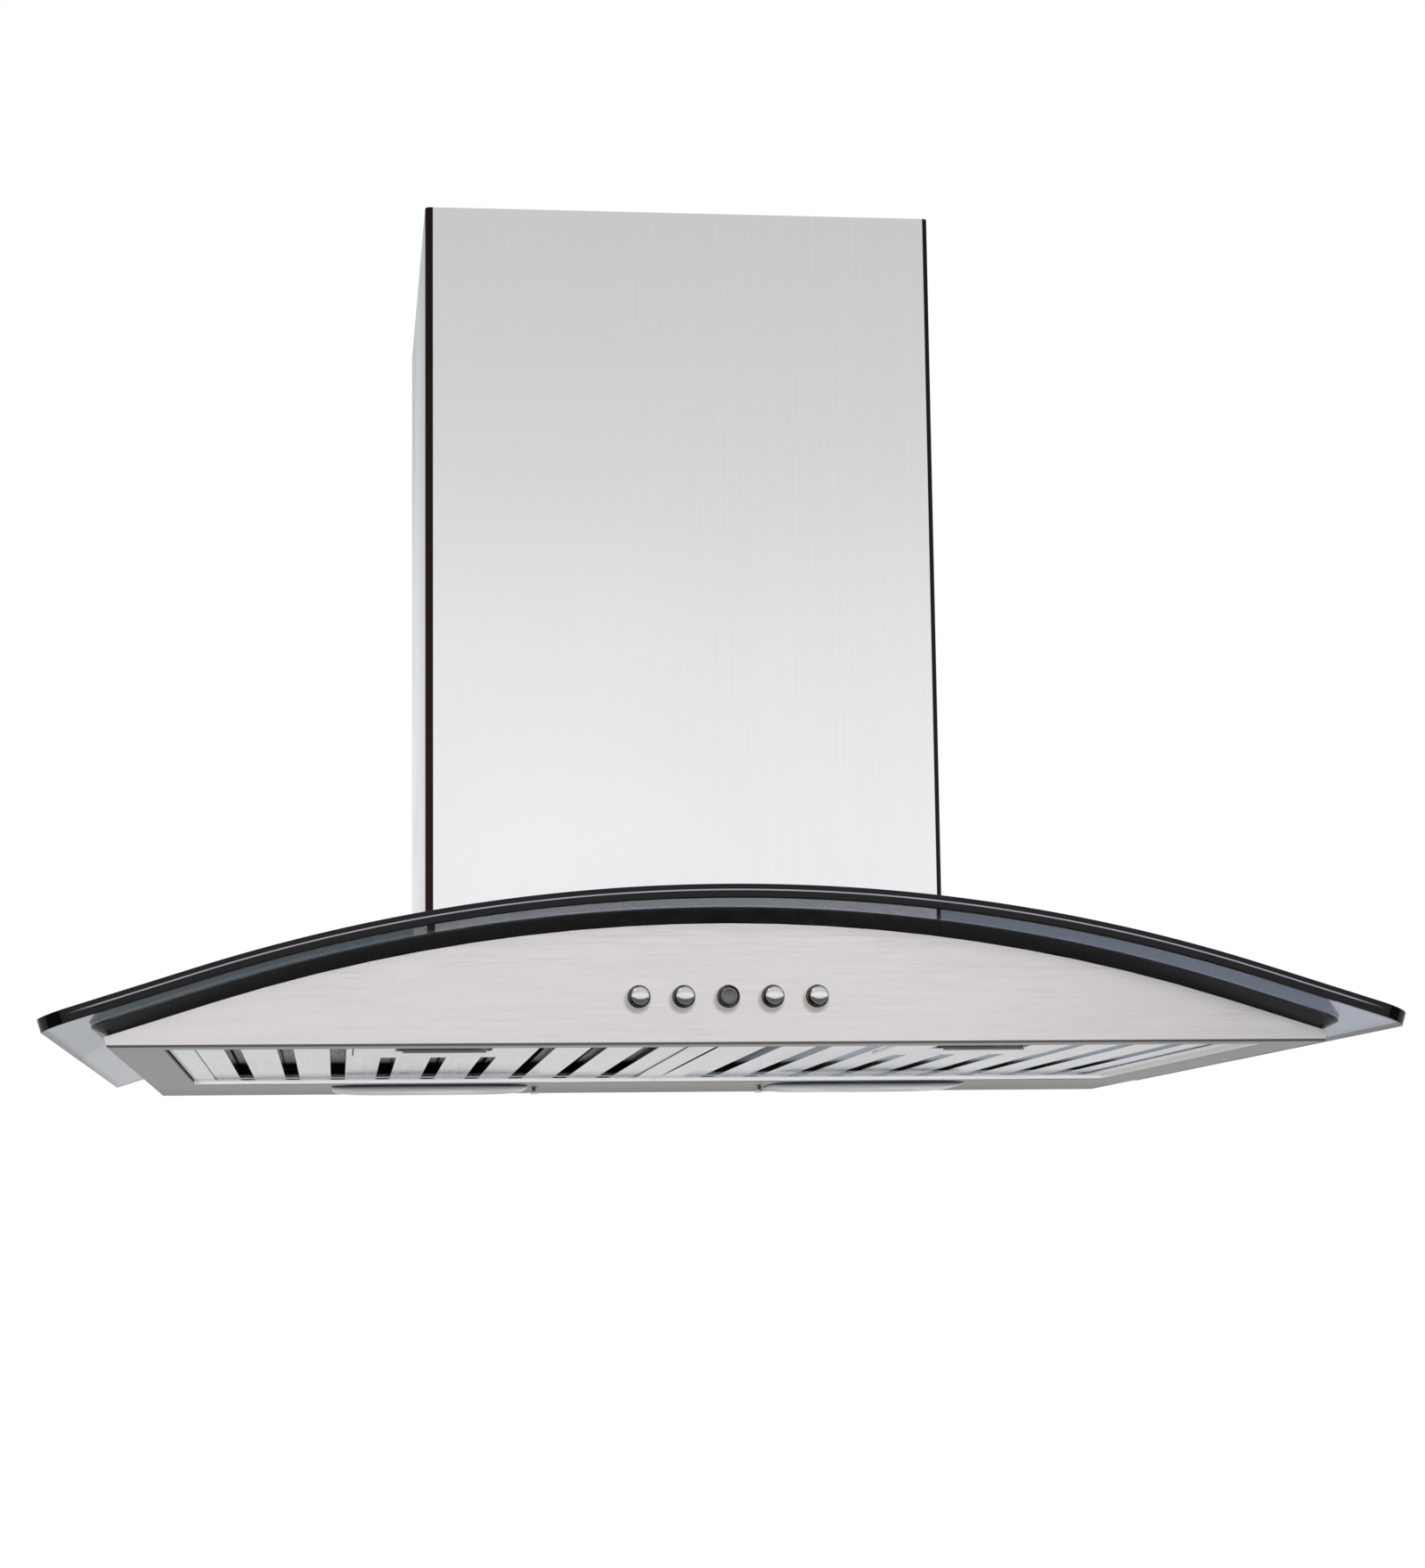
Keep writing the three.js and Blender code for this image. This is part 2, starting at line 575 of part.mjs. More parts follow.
function upperBaffles() {
  const front = FILTER_INNER.front + GAP;
  const back = FILTER_INNER.back - GAP;
  const top = FILTER_TOP - FILTER.skin - GAP - SLOTS.sheet;
  const half = SLOTS.width / 2 + SLOTS.cover;
  const x0 = slotPlaces[0] - half;
  const x1 = slotPlaces[SLOTS.count - 1] + half;
  const plate = block(x0, x1, front, back, top, top + SLOTS.sheet);
  const gapHalf = SLOTS.pitch / 2 - half;
  const gaps = slotPlaces.slice(1).map((x) => slot(x - SLOTS.pitch / 2, gapHalf, front, back, top));
  const lips = slotPlaces.flatMap((x) =>
    [-1, 1].map((way) => {
      const edge = x + way * half;
      const foot = top + SLOTS.sheet - SLOTS.lip;
      return block(edge, edge - way * SLOTS.sheet, front + 2, back - 2, foot, top + 0.5);
    }),
  );
  return cut(join(cut(plate, ...gaps), ...lips), latchRoom());
}

// The latch slides over the filter's front web: its tongue reaches into the bay's front wall and its
// tab hangs through the web for a finger.
function latch() {
  const low = FILTER.recess + SHEET + 0.4;
  const high = low + 1.6;
  const { tongueHalf, tabHalf, plateHalf, bite } = LATCH;
  const tabTop = FILTER_TOP - 2;
  const grip = prism(
    "side",
    [
      [TAB_Y, high],
      [TAB_Y, 1.4],
      [TAB_Y - 1.6, 0.6],
      [TAB_Y - 1.6, -0.3],
      [TAB_Y + 0.6, -0.3],
      [TAB_Y + 1.6, 0.9],
      [TAB_Y + 1.6, high],
    ],
    -tabHalf,
    tabHalf,
  );
  return join(
    block(-tongueHalf, tongueHalf, BAY_FRONT - bite, TAB_Y + 1, low, high),
    block(-plateHalf, plateHalf, FILTER_INNER.front + 5, TAB_Y + 1.6, low, high),
    grip,
    block(-5, 5, TAB_Y, TAB_Y + 1.6, low, tabTop),
  );
}

function addFilters() {
  for (const { name, sign } of SIDES) {
    const place = assembly(sign * FILTER_CENTRE, 0, 0);
    part(place, "filter_frame_" + name, filterFrame(), FINISHES.mirrorSteel);
    part(place, "lower_baffles_" + name, lowerBaffles(), FINISHES.mirrorSteel);
    part(place, "upper_baffles_" + name, upperBaffles(), FINISHES.mirrorSteel);
    part(place, "filter_latch_" + name, latch(), FINISHES.chrome);
    const coil = spring(STOP_Y - GAP - (TAB_Y + 1.9), 2, 0.4, 5);
    coil.translate(0, TAB_Y + 1.9, FILTER.recess + 5.6);
    part(place, "latch_spring_" + name, coil, FINISHES.springSteel);
  }
}

// ---- Controls ------------------------------------------------------------------------------------

const STRIP = { front: FRONT + SHEET + 0.4, back: FRONT + SHEET + 1.8 };

function controlBezel() {
  const { height, collar, proud } = CONTROLS;
  const band = roundedRectangle(-52, 52, height - 9, height + 9, [3, 3, 3, 3], 3);
  const strip = prism("front", band, STRIP.front, STRIP.back);
  const collars = controlPlaces.map((x) => rod("y", x, height, collar, FRONT - proud, STRIP.back, ROUND));
  const near = FRONT - proud - 1;
  const bores = controlPlaces.map((x) => rod("y", x, height, BUTTON.bore, near, STRIP.back + 1, ROUND));
  return cut(join(strip, ...collars), ...bores);
}

function button() {
  const profile = [
    [0, BUTTON.proud],
    [BUTTON.radius * 0.5, BUTTON.proud - 0.35],
    [BUTTON.radius * 0.85, BUTTON.proud - 1.1],
    [BUTTON.radius, BUTTON.proud - 2],
    [BUTTON.radius, -BUTTON.skirt],
    [BUTTON.stem, -BUTTON.skirt],
    [BUTTON.stem, -BUTTON.reach],
    [0, -BUTTON.reach],
  ];
  return turned(profile, ROUND).rotateX(Math.PI);
}

function indicatorLens() {
  const { radius } = BUTTON;
  const profile = [
    [0, 3],
    [radius * 0.6, 2.7],
    [radius, 1.7],
    [radius, -5],
    [0, -5],
  ];
  return turned(profile, ROUND).rotateX(Math.PI);
}

function switchBlock() {
  const { face, depth, halfWidth, halfHeight, leg } = SWITCHES;
  const { height } = CONTROLS;
  const front = FRONT + face;
  const low = Math.max(height - halfHeight, FILTER_TOP + GAP);
  const high = height + halfHeight;
  const box = block(-halfWidth, halfWidth, front, front + depth, low, high);
  const end = FRONT + BUTTON.reach + BUTTON.travel + 1;
  const bores = controlPlaces.map((x) => rod("y", x, height, BUTTON.stem + 0.4, front - 1, end, SMALL));
  const legs = [-halfWidth, halfWidth - leg].map((x) =>
    block(x, x + leg, STRIP.back + GAP, front + 1, low, high),
  );
  return cut(join(box, ...legs), ...bores);
}

function addControls() {
  const fixed = assembly(0, 0, 0);
  part(fixed, "control_bezel", controlBezel(), FINISHES.chrome);
  part(fixed, "switch_block", switchBlock(), FINISHES.blackPlastic);
  let number = 0;
  controlPlaces.forEach((x, i) => {
    const place = assembly(x, FRONT, CONTROLS.height);
    if (i === CONTROLS.lampPlace) {
      part(place, "indicator_lens", indicatorLens(), FINISHES.smokedLens);
      return;
    }
    number += 1;
    const seat = BUTTON.skirt + GAP;
    const coil = spring(SWITCHES.face - GAP - seat, 2.7, 0.35, 3).translate(0, seat, 0);
    part(place, "push_button_" + number, button(), FINISHES.chrome);
    part(place, "button_spring_" + number, coil, FINISHES.springSteel);
  });
}

// ---- Lamps ---------------------------------------------------------------------------------------

function lampLens(sign) {
  const x = sign * LAMP.spread;
  const { y } = LAMP;
  const { drop, wall, corner, ear, earHalf } = LENS;
  const halfX = LENS.x / 2;
  const halfY = LENS.y / 2;
  const tray = (inset, low, high) => {
    const radius = corner - inset;
    const outline = roundedRectangle(
      x - halfX + inset,
      x + halfX - inset,
      y - halfY + inset,
      y + halfY - inset,
      [radius, radius, radius, radius],
      4,
    );
    return prism("plan", outline, low, high);
  };
  const outside = join(tray(0, -drop + 1.4, -GAP), tray(1.4, -drop, -GAP));
  const bowl = cut(outside, tray(wall + 0.6, -drop + wall, 1));
  const inner = x - sign * (halfX - 1);
  const tip = x - sign * (halfX + ear);
  const lug = cut(
    block(inner, tip, y - earHalf, y + earHalf, -2.1, -GAP),
    rod("z", lensScrewX(sign), y, 1.9, -9, 9, SMALL),
  );
  const end = lensEnd(sign);
  const hooks = [-TAB.spread, TAB.spread].flatMap((dy) => {
    const y0 = y + dy - TAB.half;
    const y1 = y + dy + TAB.half;
    return [
      block(end - sign * 0.6, end - sign * 2.4, y0, y1, -1, 3),
      block(end - sign * 2.4, end + sign * TAB.hook, y0, y1, SHEET + 0.4, 3),
    ];
  });
  return join(bowl, lug, ...hooks);
}

function lensScrew(sign) {
  const profile = [
    [0, -4],
    [2.2, -3.9],
    [3.2, -3],
    [3.2, -2.4],
    [1.5, -2.4],
    [1.5, 5],
    [0, 5],
  ];
  return standing(turned(profile, SMALL), lensScrewX(sign), LAMP.y, 0);
}

function lampHousing(sign) {
  const x = sign * LAMP.spread;
  const { y, boxX, boxY, boxTop } = LAMP;
  const bottom = SHEET + GAP;
  const x0 = x - boxX / 2;
  const x1 = x + boxX / 2;
  const shell = cut(
    block(x0, x1, y - boxY / 2, y + boxY / 2, bottom, boxTop),
    block(x0 + 1, x1 - 1, y - boxY / 2 + 1, y + boxY / 2 - 1, bottom - 1, boxTop - 1),
  );
  const tabRoom = block(
    lensEnd(sign) - sign * 5,
    lensEnd(sign) + sign * 9,
    y - TAB.spread - TAB.half - 1,
    y + TAB.spread + TAB.half + 1,
    bottom - 1,
    bottom + 6,
  );
  return cut(shell, tabRoom);
}

const HOLDER = { radius: 11, bore: BULB.cap + GAP, length: 26 };

function lampHolder(sign) {
  const outer = LAMP.spread + LAMP.boxX / 2 - 1 - GAP;
  const inner = outer - HOLDER.length;
  const lengths = [sign * inner, sign * outer].sort((a, b) => a - b);
  const tube = rod("x", LAMP.y, BULB.height, HOLDER.radius, lengths[0], lengths[1], ROUND);
  const from = sign < 0 ? lengths[0] + 4 : lengths[0] - 1;
  const to = sign < 0 ? lengths[1] + 1 : lengths[1] - 4;
  const foot = block(lengths[0], lengths[1], LAMP.y - 7, LAMP.y + 7, BULB.height, LAMP.boxTop - 1 - GAP);
  return cut(join(tube, foot), rod("x", LAMP.y, BULB.height, HOLDER.bore, from, to, ROUND));
}

function bulb(sign) {
  const outer = LAMP.spread + LAMP.boxX / 2 - 1 - GAP - HOLDER.length;
  const { radius, length, cap } = BULB;
  const profile = [
    [0, length],
    [radius * 0.55, length - 1.6],
    [radius * 0.88, length - 5.5],
    [radius, length - 11],
    [radius, 12],
    [radius * 0.85, 5],
    [cap, 1],
    [cap, -19],
    [3, -20.5],
    [0, -20.5],
  ];
  const geometry = turned(profile, ROUND).rotateZ((sign * Math.PI) / 2);
  return geometry.translate(sign * outer, LAMP.y, BULB.height);
}

function controlModule() {
  const box = block(-34, 34, -112, -44, SHEET + GAP, 30);
  const terminals = [-24, -8, 8, 24].map((x) => block(x - 6, x + 6, -46, -36, SHEET + GAP, 18));
  return join(box, ...terminals);
}

function addLamps() {
  const place = assembly(0, 0, 0);
  for (const { name, sign } of SIDES) {
    part(place, "lamp_lens_" + name, lampLens(sign), FINISHES.blueLens);
    part(place, "lens_screw_" + name, lensScrew(sign), FINISHES.chrome);
    part(place, "lamp_housing_" + name, lampHousing(sign), FINISHES.galvanised);
    part(place, "lampholder_" + name, lampHolder(sign), FINISHES.whitePlastic);
    part(place, "bulb_" + name, bulb(sign), FINISHES.clearBulb);
  }
  part(place, "control_module", controlModule(), FINISHES.blackPlastic);
}

// ---- Blower --------------------------------------------------------------------------------------

const OUTLET = (() => {
  const start = THREE.MathUtils.degToRad(BLOWER.tongueAngle);
  const front = BLOWER.y - BLOWER.tongueRadius - BLOWER.growth;
  const back = BLOWER.y + BLOWER.tongueRadius * Math.cos(start);
  return { front, back, centre: (front + back) / 2 };
})();

// The scroll's outline grows evenly from the tongue, under the impeller, to the outlet's front wall.
function scrollOutline(extra, top) {
  const { y, z, tongueRadius, growth, tongueAngle } = BLOWER;
  const steps = 24;
  const spiral = Array.from({ length: steps + 1 }, (_, i) => {
    const turn = i / steps;
    const angle = THREE.MathUtils.degToRad(tongueAngle - turn * (tongueAngle + 180));
    const radius = tongueRadius + turn * growth + extra;
    return [y + radius * Math.cos(angle), z + radius * Math.sin(angle)];
  });
  return [...spiral, [OUTLET.front - extra, top], [OUTLET.back + extra, top]];
}

function blowerScroll() {
  const { halfWidth, y, z } = BLOWER;
  const top = CASING.top - SHEET - GAP;
  const outer = prism("side", scrollOutline(SHEET, top), -halfWidth, halfWidth);
  const inner = prism("side", scrollOutline(0, top + 1), -halfWidth + SHEET, halfWidth - SHEET);
  return cut(outer, inner, rod("x", y, z, IMPELLER.eye, -halfWidth - 1, halfWidth + 1, FINE));
}

function blowerCasing() {
  const { half, front, back, top } = CASING;
  const shell = cut(
    block(-half, half, front, back, 20, top),
    block(-half + SHEET, half - SHEET, front + SHEET, back - SHEET, 10, top - SHEET),
  );
  const { halfWidth } = BLOWER;
  const outlet = block(-halfWidth + 2, halfWidth - 2, OUTLET.front + 1, OUTLET.back - 1, top - 5, top + 5);
  const slots = [-HOOKS.spread, HOOKS.spread].map((x) =>
    block(x - HOOKS.half - 1, x + HOOKS.half + 1, back - 3, back + 3, HOOKS.z - 12, HOOKS.z + 2.9),
  );
  const tabs = SIDES.flatMap(({ sign }) => {
    const reach = CHIMNEY.half - CHIMNEY.sheet - GAP;
    return [
      block(sign * (half - 0.5), sign * reach, -160, -140, 84, 84 + SHEET),
      block(sign * (reach - SHEET), sign * reach, -160, -140, 72, 84 + SHEET),
    ];
  });
  const gland = rod("z", GLAND.x, GLAND.y, GLAND.thread + GAP, top - 5, top + 5, SMALL);
  const below = underArch(half + 5, DECK.drop - 0.4, 0, front - 5, back + 5);
  return join(cut(shell, below, outlet, gland, ...slots), ...tabs);
}

const GLAND = { x: 80, y: -50, thread: 6, hex: 10, bore: 3.6 };

function cableGland() {
  const { x, y, thread, hex, bore } = GLAND;
  const top = CASING.top + GAP;
  const nut = CASING.top - SHEET - GAP;
  return cut(
    join(
      rod("z", x, y, hex, top, top + 6, 6),
      rod("z", x, y, 8, top + 5.5, top + 15, SMALL),
      rod("z", x, y, thread, nut - 7, top + 1, SMALL),
      rod("z", x, y, hex, nut - 5, nut, 6),
    ),
    rod("z", x, y, bore, nut - 9, top + 20, SMALL),
  );
}

function impeller() {
  const { radius, inner, halfWidth, blades, hub } = IMPELLER;
  const washer = (r0, r1, x0, x1, flats) =>
    prism("side", circle(0, 0, r1, flats), x0, x1, [circle(0, 0, r0, flats)]);
  const bore = MOTOR.shaft + GAP;
  const rings = [
    washer(inner, radius, -halfWidth, -halfWidth + 2, FINE),
    washer(inner, radius, halfWidth - 2, halfWidth, FINE),
    washer(bore, radius, -1, 1, FINE),
    washer(bore, hub, -5, 12, ROUND),
  ];
  const vanes = Array.from({ length: blades }, (_, i) => {
    const vane = block(-halfWidth + 1, halfWidth - 1, -6.5, 6.5, -0.6, 0.6);
    vane.rotateX(THREE.MathUtils.degToRad(35));
    vane.translate(0, (radius + inner) / 2, 0);
    return vane.rotateX((2 * Math.PI * i) / blades);
  });
  return join(...rings, ...vanes);
}

function motor() {
  const { radius, from, to, shaft } = MOTOR;
  const bore = shaft + 0.4;
  const length = to - from;
  const profile = [
    [bore, 0],
    [radius - 10, 0],
    [radius - 4, 4],
    [radius, 10],
    [radius, length - 10],
    [radius - 4, length - 4],
    [radius - 10, length],
    [bore, length],
    [bore, 0],
  ];
  return turned(profile, ROUND).rotateZ(-Math.PI / 2).translate(from, 0, 0);
}

function motorShaft() {
  return rod("x", 0, 0, MOTOR.shaft, MOTOR.from - 4, 16, SMALL);
}

function motorBracket() {
  const { radius, from, arm } = MOTOR;
  const plate = -BLOWER.halfWidth - GAP;
  const x0 = from + 1;
  const x1 = x0 + 3;
  const ring = prism("side", circle(0, 0, radius + 4, ROUND), x0, x1, [circle(0, 0, radius + 0.4, ROUND)]);
  const arms = [90, 210, 330].map((degrees) => {
    const turn = THREE.MathUtils.degToRad(degrees);
    const strut = block(x0, x1, radius + 2, arm, -4, 4);
    const foot = block(x1 - 1, plate, arm - 4, arm, -4, 4);
    return join(strut.rotateX(turn), foot.rotateX(turn));
  });
  return join(ring, ...arms);
}

function outletCollar() {
  const { radius, wall, height, flange, flapHeight, pivot } = COLLAR;
  const y = OUTLET.centre;
  const low = CASING.top + GAP;
  const square = roundedRectangle(-flange, flange, y - flange, y + flange, [8, 8, 8, 8], 3);
  const plate = prism("plan", square, low, low + SHEET);
  const tube = rod("z", 0, y, radius, low, low + height, FINE);
  const bore = rod("z", 0, y, radius - wall, low - 1, low + height + 1, FINE);
  const pins = [-pivot, pivot].map((dy) =>
    rod("x", y + dy, low + flapHeight, FLAP.pin + 0.35, -radius - 1, radius + 1, SMALL),
  );
  const bridgeTop = low + flapHeight - 1.6;
  const bridge = block(-radius + 0.5, radius - 0.5, y - 1.5, y + 1.5, bridgeTop - 2.4, bridgeTop);
  return join(cut(join(plate, tube), bore, ...pins), bridge);
}

const FLAP = { pin: 1.2, sheet: 1, play: 1 };

// Each flap is a little under half a disc. It turns on two pins in the collar's wall.
function flap(sign) {
  const { radius, wall, flapHeight, pivot } = COLLAR;
  const y = OUTLET.centre;
  const z = CASING.top + GAP + flapHeight;
  const reach = radius - wall - FLAP.play;
  const disc = prism("plan", circle(0, y, reach, FINE), z - FLAP.sheet / 2, z + FLAP.sheet / 2);
  const edge = y + sign * (pivot - 1.8);
  const far = y + sign * 90;
  const keep = block(-90, 90, Math.min(edge, far), Math.max(edge, far), z - 2, z + 2);
  const pin = rod("x", y + sign * pivot, z, FLAP.pin, -radius + 0.2, radius - 0.2, SMALL);
  return join(common(disc, keep), pin);
}

function capacitor() {
  const x = CASING.half - SHEET - 17;
  const can = [[0, 34], [14, 34], [16, 32], [16, -30], [4, -30], [4, -36], [0, -36]];
  return standing(turned(can, ROUND), x, -60, 150);
}

function wallBracket() {
  const { z, spread, half, plateHalf, plateTop } = HOOKS;
  const plate = block(-plateHalf, plateHalf, -3, 0, z - 10, plateTop);
  const leg = CASING.back - SHEET - 3.6;
  const hooks = [-spread, spread].flatMap((x) => [
    block(x - half, x + half, leg, -2.5, z, z + 2.5),
    block(x - half, x + half, leg, leg + 2.5, z, z + 10),
  ]);
  return join(plate, ...hooks);
}

function addBlower() {
  const place = assembly(0, 0, 0);
  const axle = assembly(0, BLOWER.y, BLOWER.z);
  part(place, "blower_casing", blowerCasing(), FINISHES.galvanised);
  part(place, "blower_scroll", blowerScroll(), FINISHES.galvanised);
  part(axle, "impeller", impeller(), FINISHES.galvanised);
  part(axle, "motor", motor(), FINISHES.motorPaint);
  part(axle, "motor_shaft", motorShaft(), FINISHES.springSteel);
  part(axle, "motor_bracket", motorBracket(), FINISHES.galvanised);
  part(place, "capacitor", capacitor(), FINISHES.whitePlastic);
  part(place, "outlet_collar", outletCollar(), FINISHES.blackPlastic);
  part(place, "damper_flap_front", flap(-1), FINISHES.blackPlastic);
  part(place, "damper_flap_back", flap(1), FINISHES.blackPlastic);
  part(place, "cable_gland", cableGland(), FINISHES.blackPlastic);
  part(place, "wall_bracket", wallBracket(), FINISHES.galvanised);
}

// ---- Chimney covers ------------------------------------------------------------------------------

// A folded cover, open at the wall but for two narrow returns.
function cover(inset, bottom, top) {
  const { half, front, back, sheet, fold, returns } = CHIMNEY;
  const outline = (extra, radius) =>
    roundedRectangle(-half + extra, half - extra, front + extra, back - extra, [radius, radius, 0, 0], 3);
  return cut(
    prism("plan", outline(inset, fold), bottom, top),
    prism("plan", outline(inset + sheet, fold - sheet), bottom - 1, top + 1),
    block(-half + inset + returns, half - inset - returns, back - inset - 3, 1, bottom - 1, top + 1),
  );
}

function addChimney() {
  const { half, front, top, sheet } = CHIMNEY;
  const foot = underArch(half + 5, -0.4, 0, front - 5, 5);
  const place = assembly(0, 0, 0);
  part(place, "chimney_lower_cover", cut(cover(0, 30, top), foot), FINISHES.chimneySteel);
  const upper = cover(sheet + UPPER.play, UPPER.bottom, top - UPPER.drop);
  part(place, "chimney_upper_cover", upper, FINISHES.chimneySteel);
}

addGlass();
addBody();
addFilters();
addControls();
addLamps();
addBlower();
addChimney();

export default hood;
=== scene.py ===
"""Looks for a wall chimney hood with an arched glass canopy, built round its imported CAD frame.

Metres, +Z up, +Y towards the wall, origin in the middle of the body's back face. Shapes that need smooth
curves are worked out here as surfaces; the flat sheet pieces keep their CAD meshes and get a finish.
"""

from __future__ import annotations

import json
import logging
import math
from dataclasses import dataclass, field
from enum import Enum
from typing import Sequence

import bmesh
import bpy
import numpy as np
from mathutils import Matrix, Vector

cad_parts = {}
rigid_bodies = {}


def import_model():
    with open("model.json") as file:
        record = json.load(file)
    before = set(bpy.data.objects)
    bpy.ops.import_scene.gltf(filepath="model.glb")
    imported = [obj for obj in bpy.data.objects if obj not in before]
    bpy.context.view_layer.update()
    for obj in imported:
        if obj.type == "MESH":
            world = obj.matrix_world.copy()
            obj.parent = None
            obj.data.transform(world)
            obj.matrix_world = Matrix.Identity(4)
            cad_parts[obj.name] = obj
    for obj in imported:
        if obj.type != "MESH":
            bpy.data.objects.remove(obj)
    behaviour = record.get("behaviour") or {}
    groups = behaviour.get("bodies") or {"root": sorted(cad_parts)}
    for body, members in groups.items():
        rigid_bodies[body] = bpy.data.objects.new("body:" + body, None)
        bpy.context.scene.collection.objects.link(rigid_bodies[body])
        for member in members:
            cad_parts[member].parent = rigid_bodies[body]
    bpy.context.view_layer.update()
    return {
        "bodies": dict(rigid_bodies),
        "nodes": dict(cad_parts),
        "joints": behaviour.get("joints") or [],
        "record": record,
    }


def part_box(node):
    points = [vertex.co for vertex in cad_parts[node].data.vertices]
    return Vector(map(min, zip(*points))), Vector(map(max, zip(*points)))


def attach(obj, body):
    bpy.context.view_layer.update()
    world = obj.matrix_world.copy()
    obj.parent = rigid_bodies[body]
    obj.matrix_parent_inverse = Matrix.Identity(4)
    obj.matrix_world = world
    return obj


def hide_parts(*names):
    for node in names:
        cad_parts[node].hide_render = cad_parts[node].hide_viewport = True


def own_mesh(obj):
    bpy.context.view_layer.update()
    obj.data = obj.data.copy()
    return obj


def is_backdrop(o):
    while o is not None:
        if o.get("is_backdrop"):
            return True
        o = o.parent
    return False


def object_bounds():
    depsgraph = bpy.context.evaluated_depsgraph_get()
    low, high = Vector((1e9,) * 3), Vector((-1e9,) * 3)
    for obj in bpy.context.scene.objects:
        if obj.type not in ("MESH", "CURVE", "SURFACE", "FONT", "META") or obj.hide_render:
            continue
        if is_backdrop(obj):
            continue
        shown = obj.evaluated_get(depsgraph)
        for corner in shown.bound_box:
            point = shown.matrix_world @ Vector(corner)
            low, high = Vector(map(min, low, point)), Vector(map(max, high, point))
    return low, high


LOG = logging.getLogger("hood")
Box = tuple[np.ndarray, np.ndarray]
Pair = tuple[float, float]


# ---- Numbers and small helpers -------------------------------------------------------------------


def node_box(node: str) -> Box:
    """The lowest and highest corners of a CAD node as arrays.

    Args:
        node: name of the CAD node.

    Returns:
        The two corners, in metres.
    """
    low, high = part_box(node)
    return np.array(low), np.array(high)


@dataclass(frozen=True)
class Arch:
    """The curve of the canopy: an arc about a centre below the glass, carried on by straight ends."""

    top: float
    radius: float = 0.776
    half_arc: float = 0.233

    def height(self, x: np.ndarray, drop: float | np.ndarray = 0.0) -> np.ndarray:
        """Height of the surface that lies a given drop under the glass's top, measured square to it.

        Inside the arc the height is top - R + sqrt((R - drop)^2 - x^2); outside, the tangent at the
        arc's end carries on in a straight line.

        Args:
            x: places across the hood.
            drop: distance under the top of the glass.

        Returns:
            The heights.
        """
        angle = math.asin(self.half_arc / self.radius)
        radius = self.radius - np.asarray(drop, float)
        edge = radius * math.sin(angle)
        across = np.abs(x)
        inside = np.sqrt(np.maximum(radius**2 - np.minimum(across, edge) ** 2, 0.0))
        return self.top - self.radius + inside - np.maximum(across - edge, 0.0) * math.tan(angle)


def surface(name: str, points: np.ndarray, around: bool = False, across: bool = False) -> bpy.types.Object:
    """Turns a grid of points into a mesh of four-sided faces.

    Args:
        name: the new object's name.
        points: array of shape (rows, columns, 3).
        around: join the last column to the first.
        across: join the last row to the first.

    Returns:
        The new object, at the origin and linked to the scene.
    """
    rows, columns = points.shape[:2]
    i = np.arange(rows if across else rows - 1)
    j = np.arange(columns if around else columns - 1)
    a, b = np.meshgrid(i, j, indexing="ij")
    c, d = (a + 1) % rows, (b + 1) % columns
    faces = np.stack([a * columns + b, a * columns + d, c * columns + d, c * columns + b], -1).reshape(-1, 4)
    return mesh_object(name, points.reshape(-1, 3), faces)


def mesh_object(name: str, points: np.ndarray, faces: np.ndarray) -> bpy.types.Object:
    """Makes an object from vertices and four-sided faces held in arrays.

    Args:
        name: the new object's name.
        points: array of shape (vertices, 3).
        faces: array of shape (faces, 4) of vertex numbers.

    Returns:
        The new object, linked to the scene.
    """
    mesh = bpy.data.meshes.new(name)
    mesh.vertices.add(len(points))
    mesh.vertices.foreach_set("co", np.ascontiguousarray(points, np.float32).ravel())
    mesh.loops.add(faces.size)
    mesh.loops.foreach_set("vertex_index", faces.astype(np.int32).ravel())
    mesh.polygons.add(len(faces))
    mesh.polygons.foreach_set("loop_start", np.arange(0, faces.size, 4, dtype=np.int32))
    mesh.update(calc_edges=True)
    item = bpy.data.objects.new(name, mesh)
    bpy.context.scene.collection.objects.link(item)
    return item


def tidy(item: bpy.types.Object, sharp_degrees: float = 35.0, recalculate: bool = True) -> bpy.types.Object:
    """Closes seams and poles, turns faces outwards and sets which edges stay crisp.

    Args:
        item: the object whose mesh is cleaned.
        sharp_degrees: edges that turn by more than this are shown sharp.
        recalculate: work the outward direction out again.

    Returns:
        The same object.
    """
    work = bmesh.new()
    work.from_mesh(item.data)
    bmesh.ops.remove_doubles(work, verts=work.verts, dist=2e-6)
    bmesh.ops.dissolve_degenerate(work, edges=work.edges, dist=2e-6)
    if recalculate:
        bmesh.ops.recalc_face_normals(work, faces=work.faces)
    work.to_mesh(item.data)
    work.free()
    item.data.shade_smooth()
    item.data.set_sharp_from_angle(angle=math.radians(sharp_degrees))
    return item


class Axis(Enum):
    """Which way a turned piece points."""

    FRONT = "-Y"
    UP = "+Z"
    RIGHT = "+X"


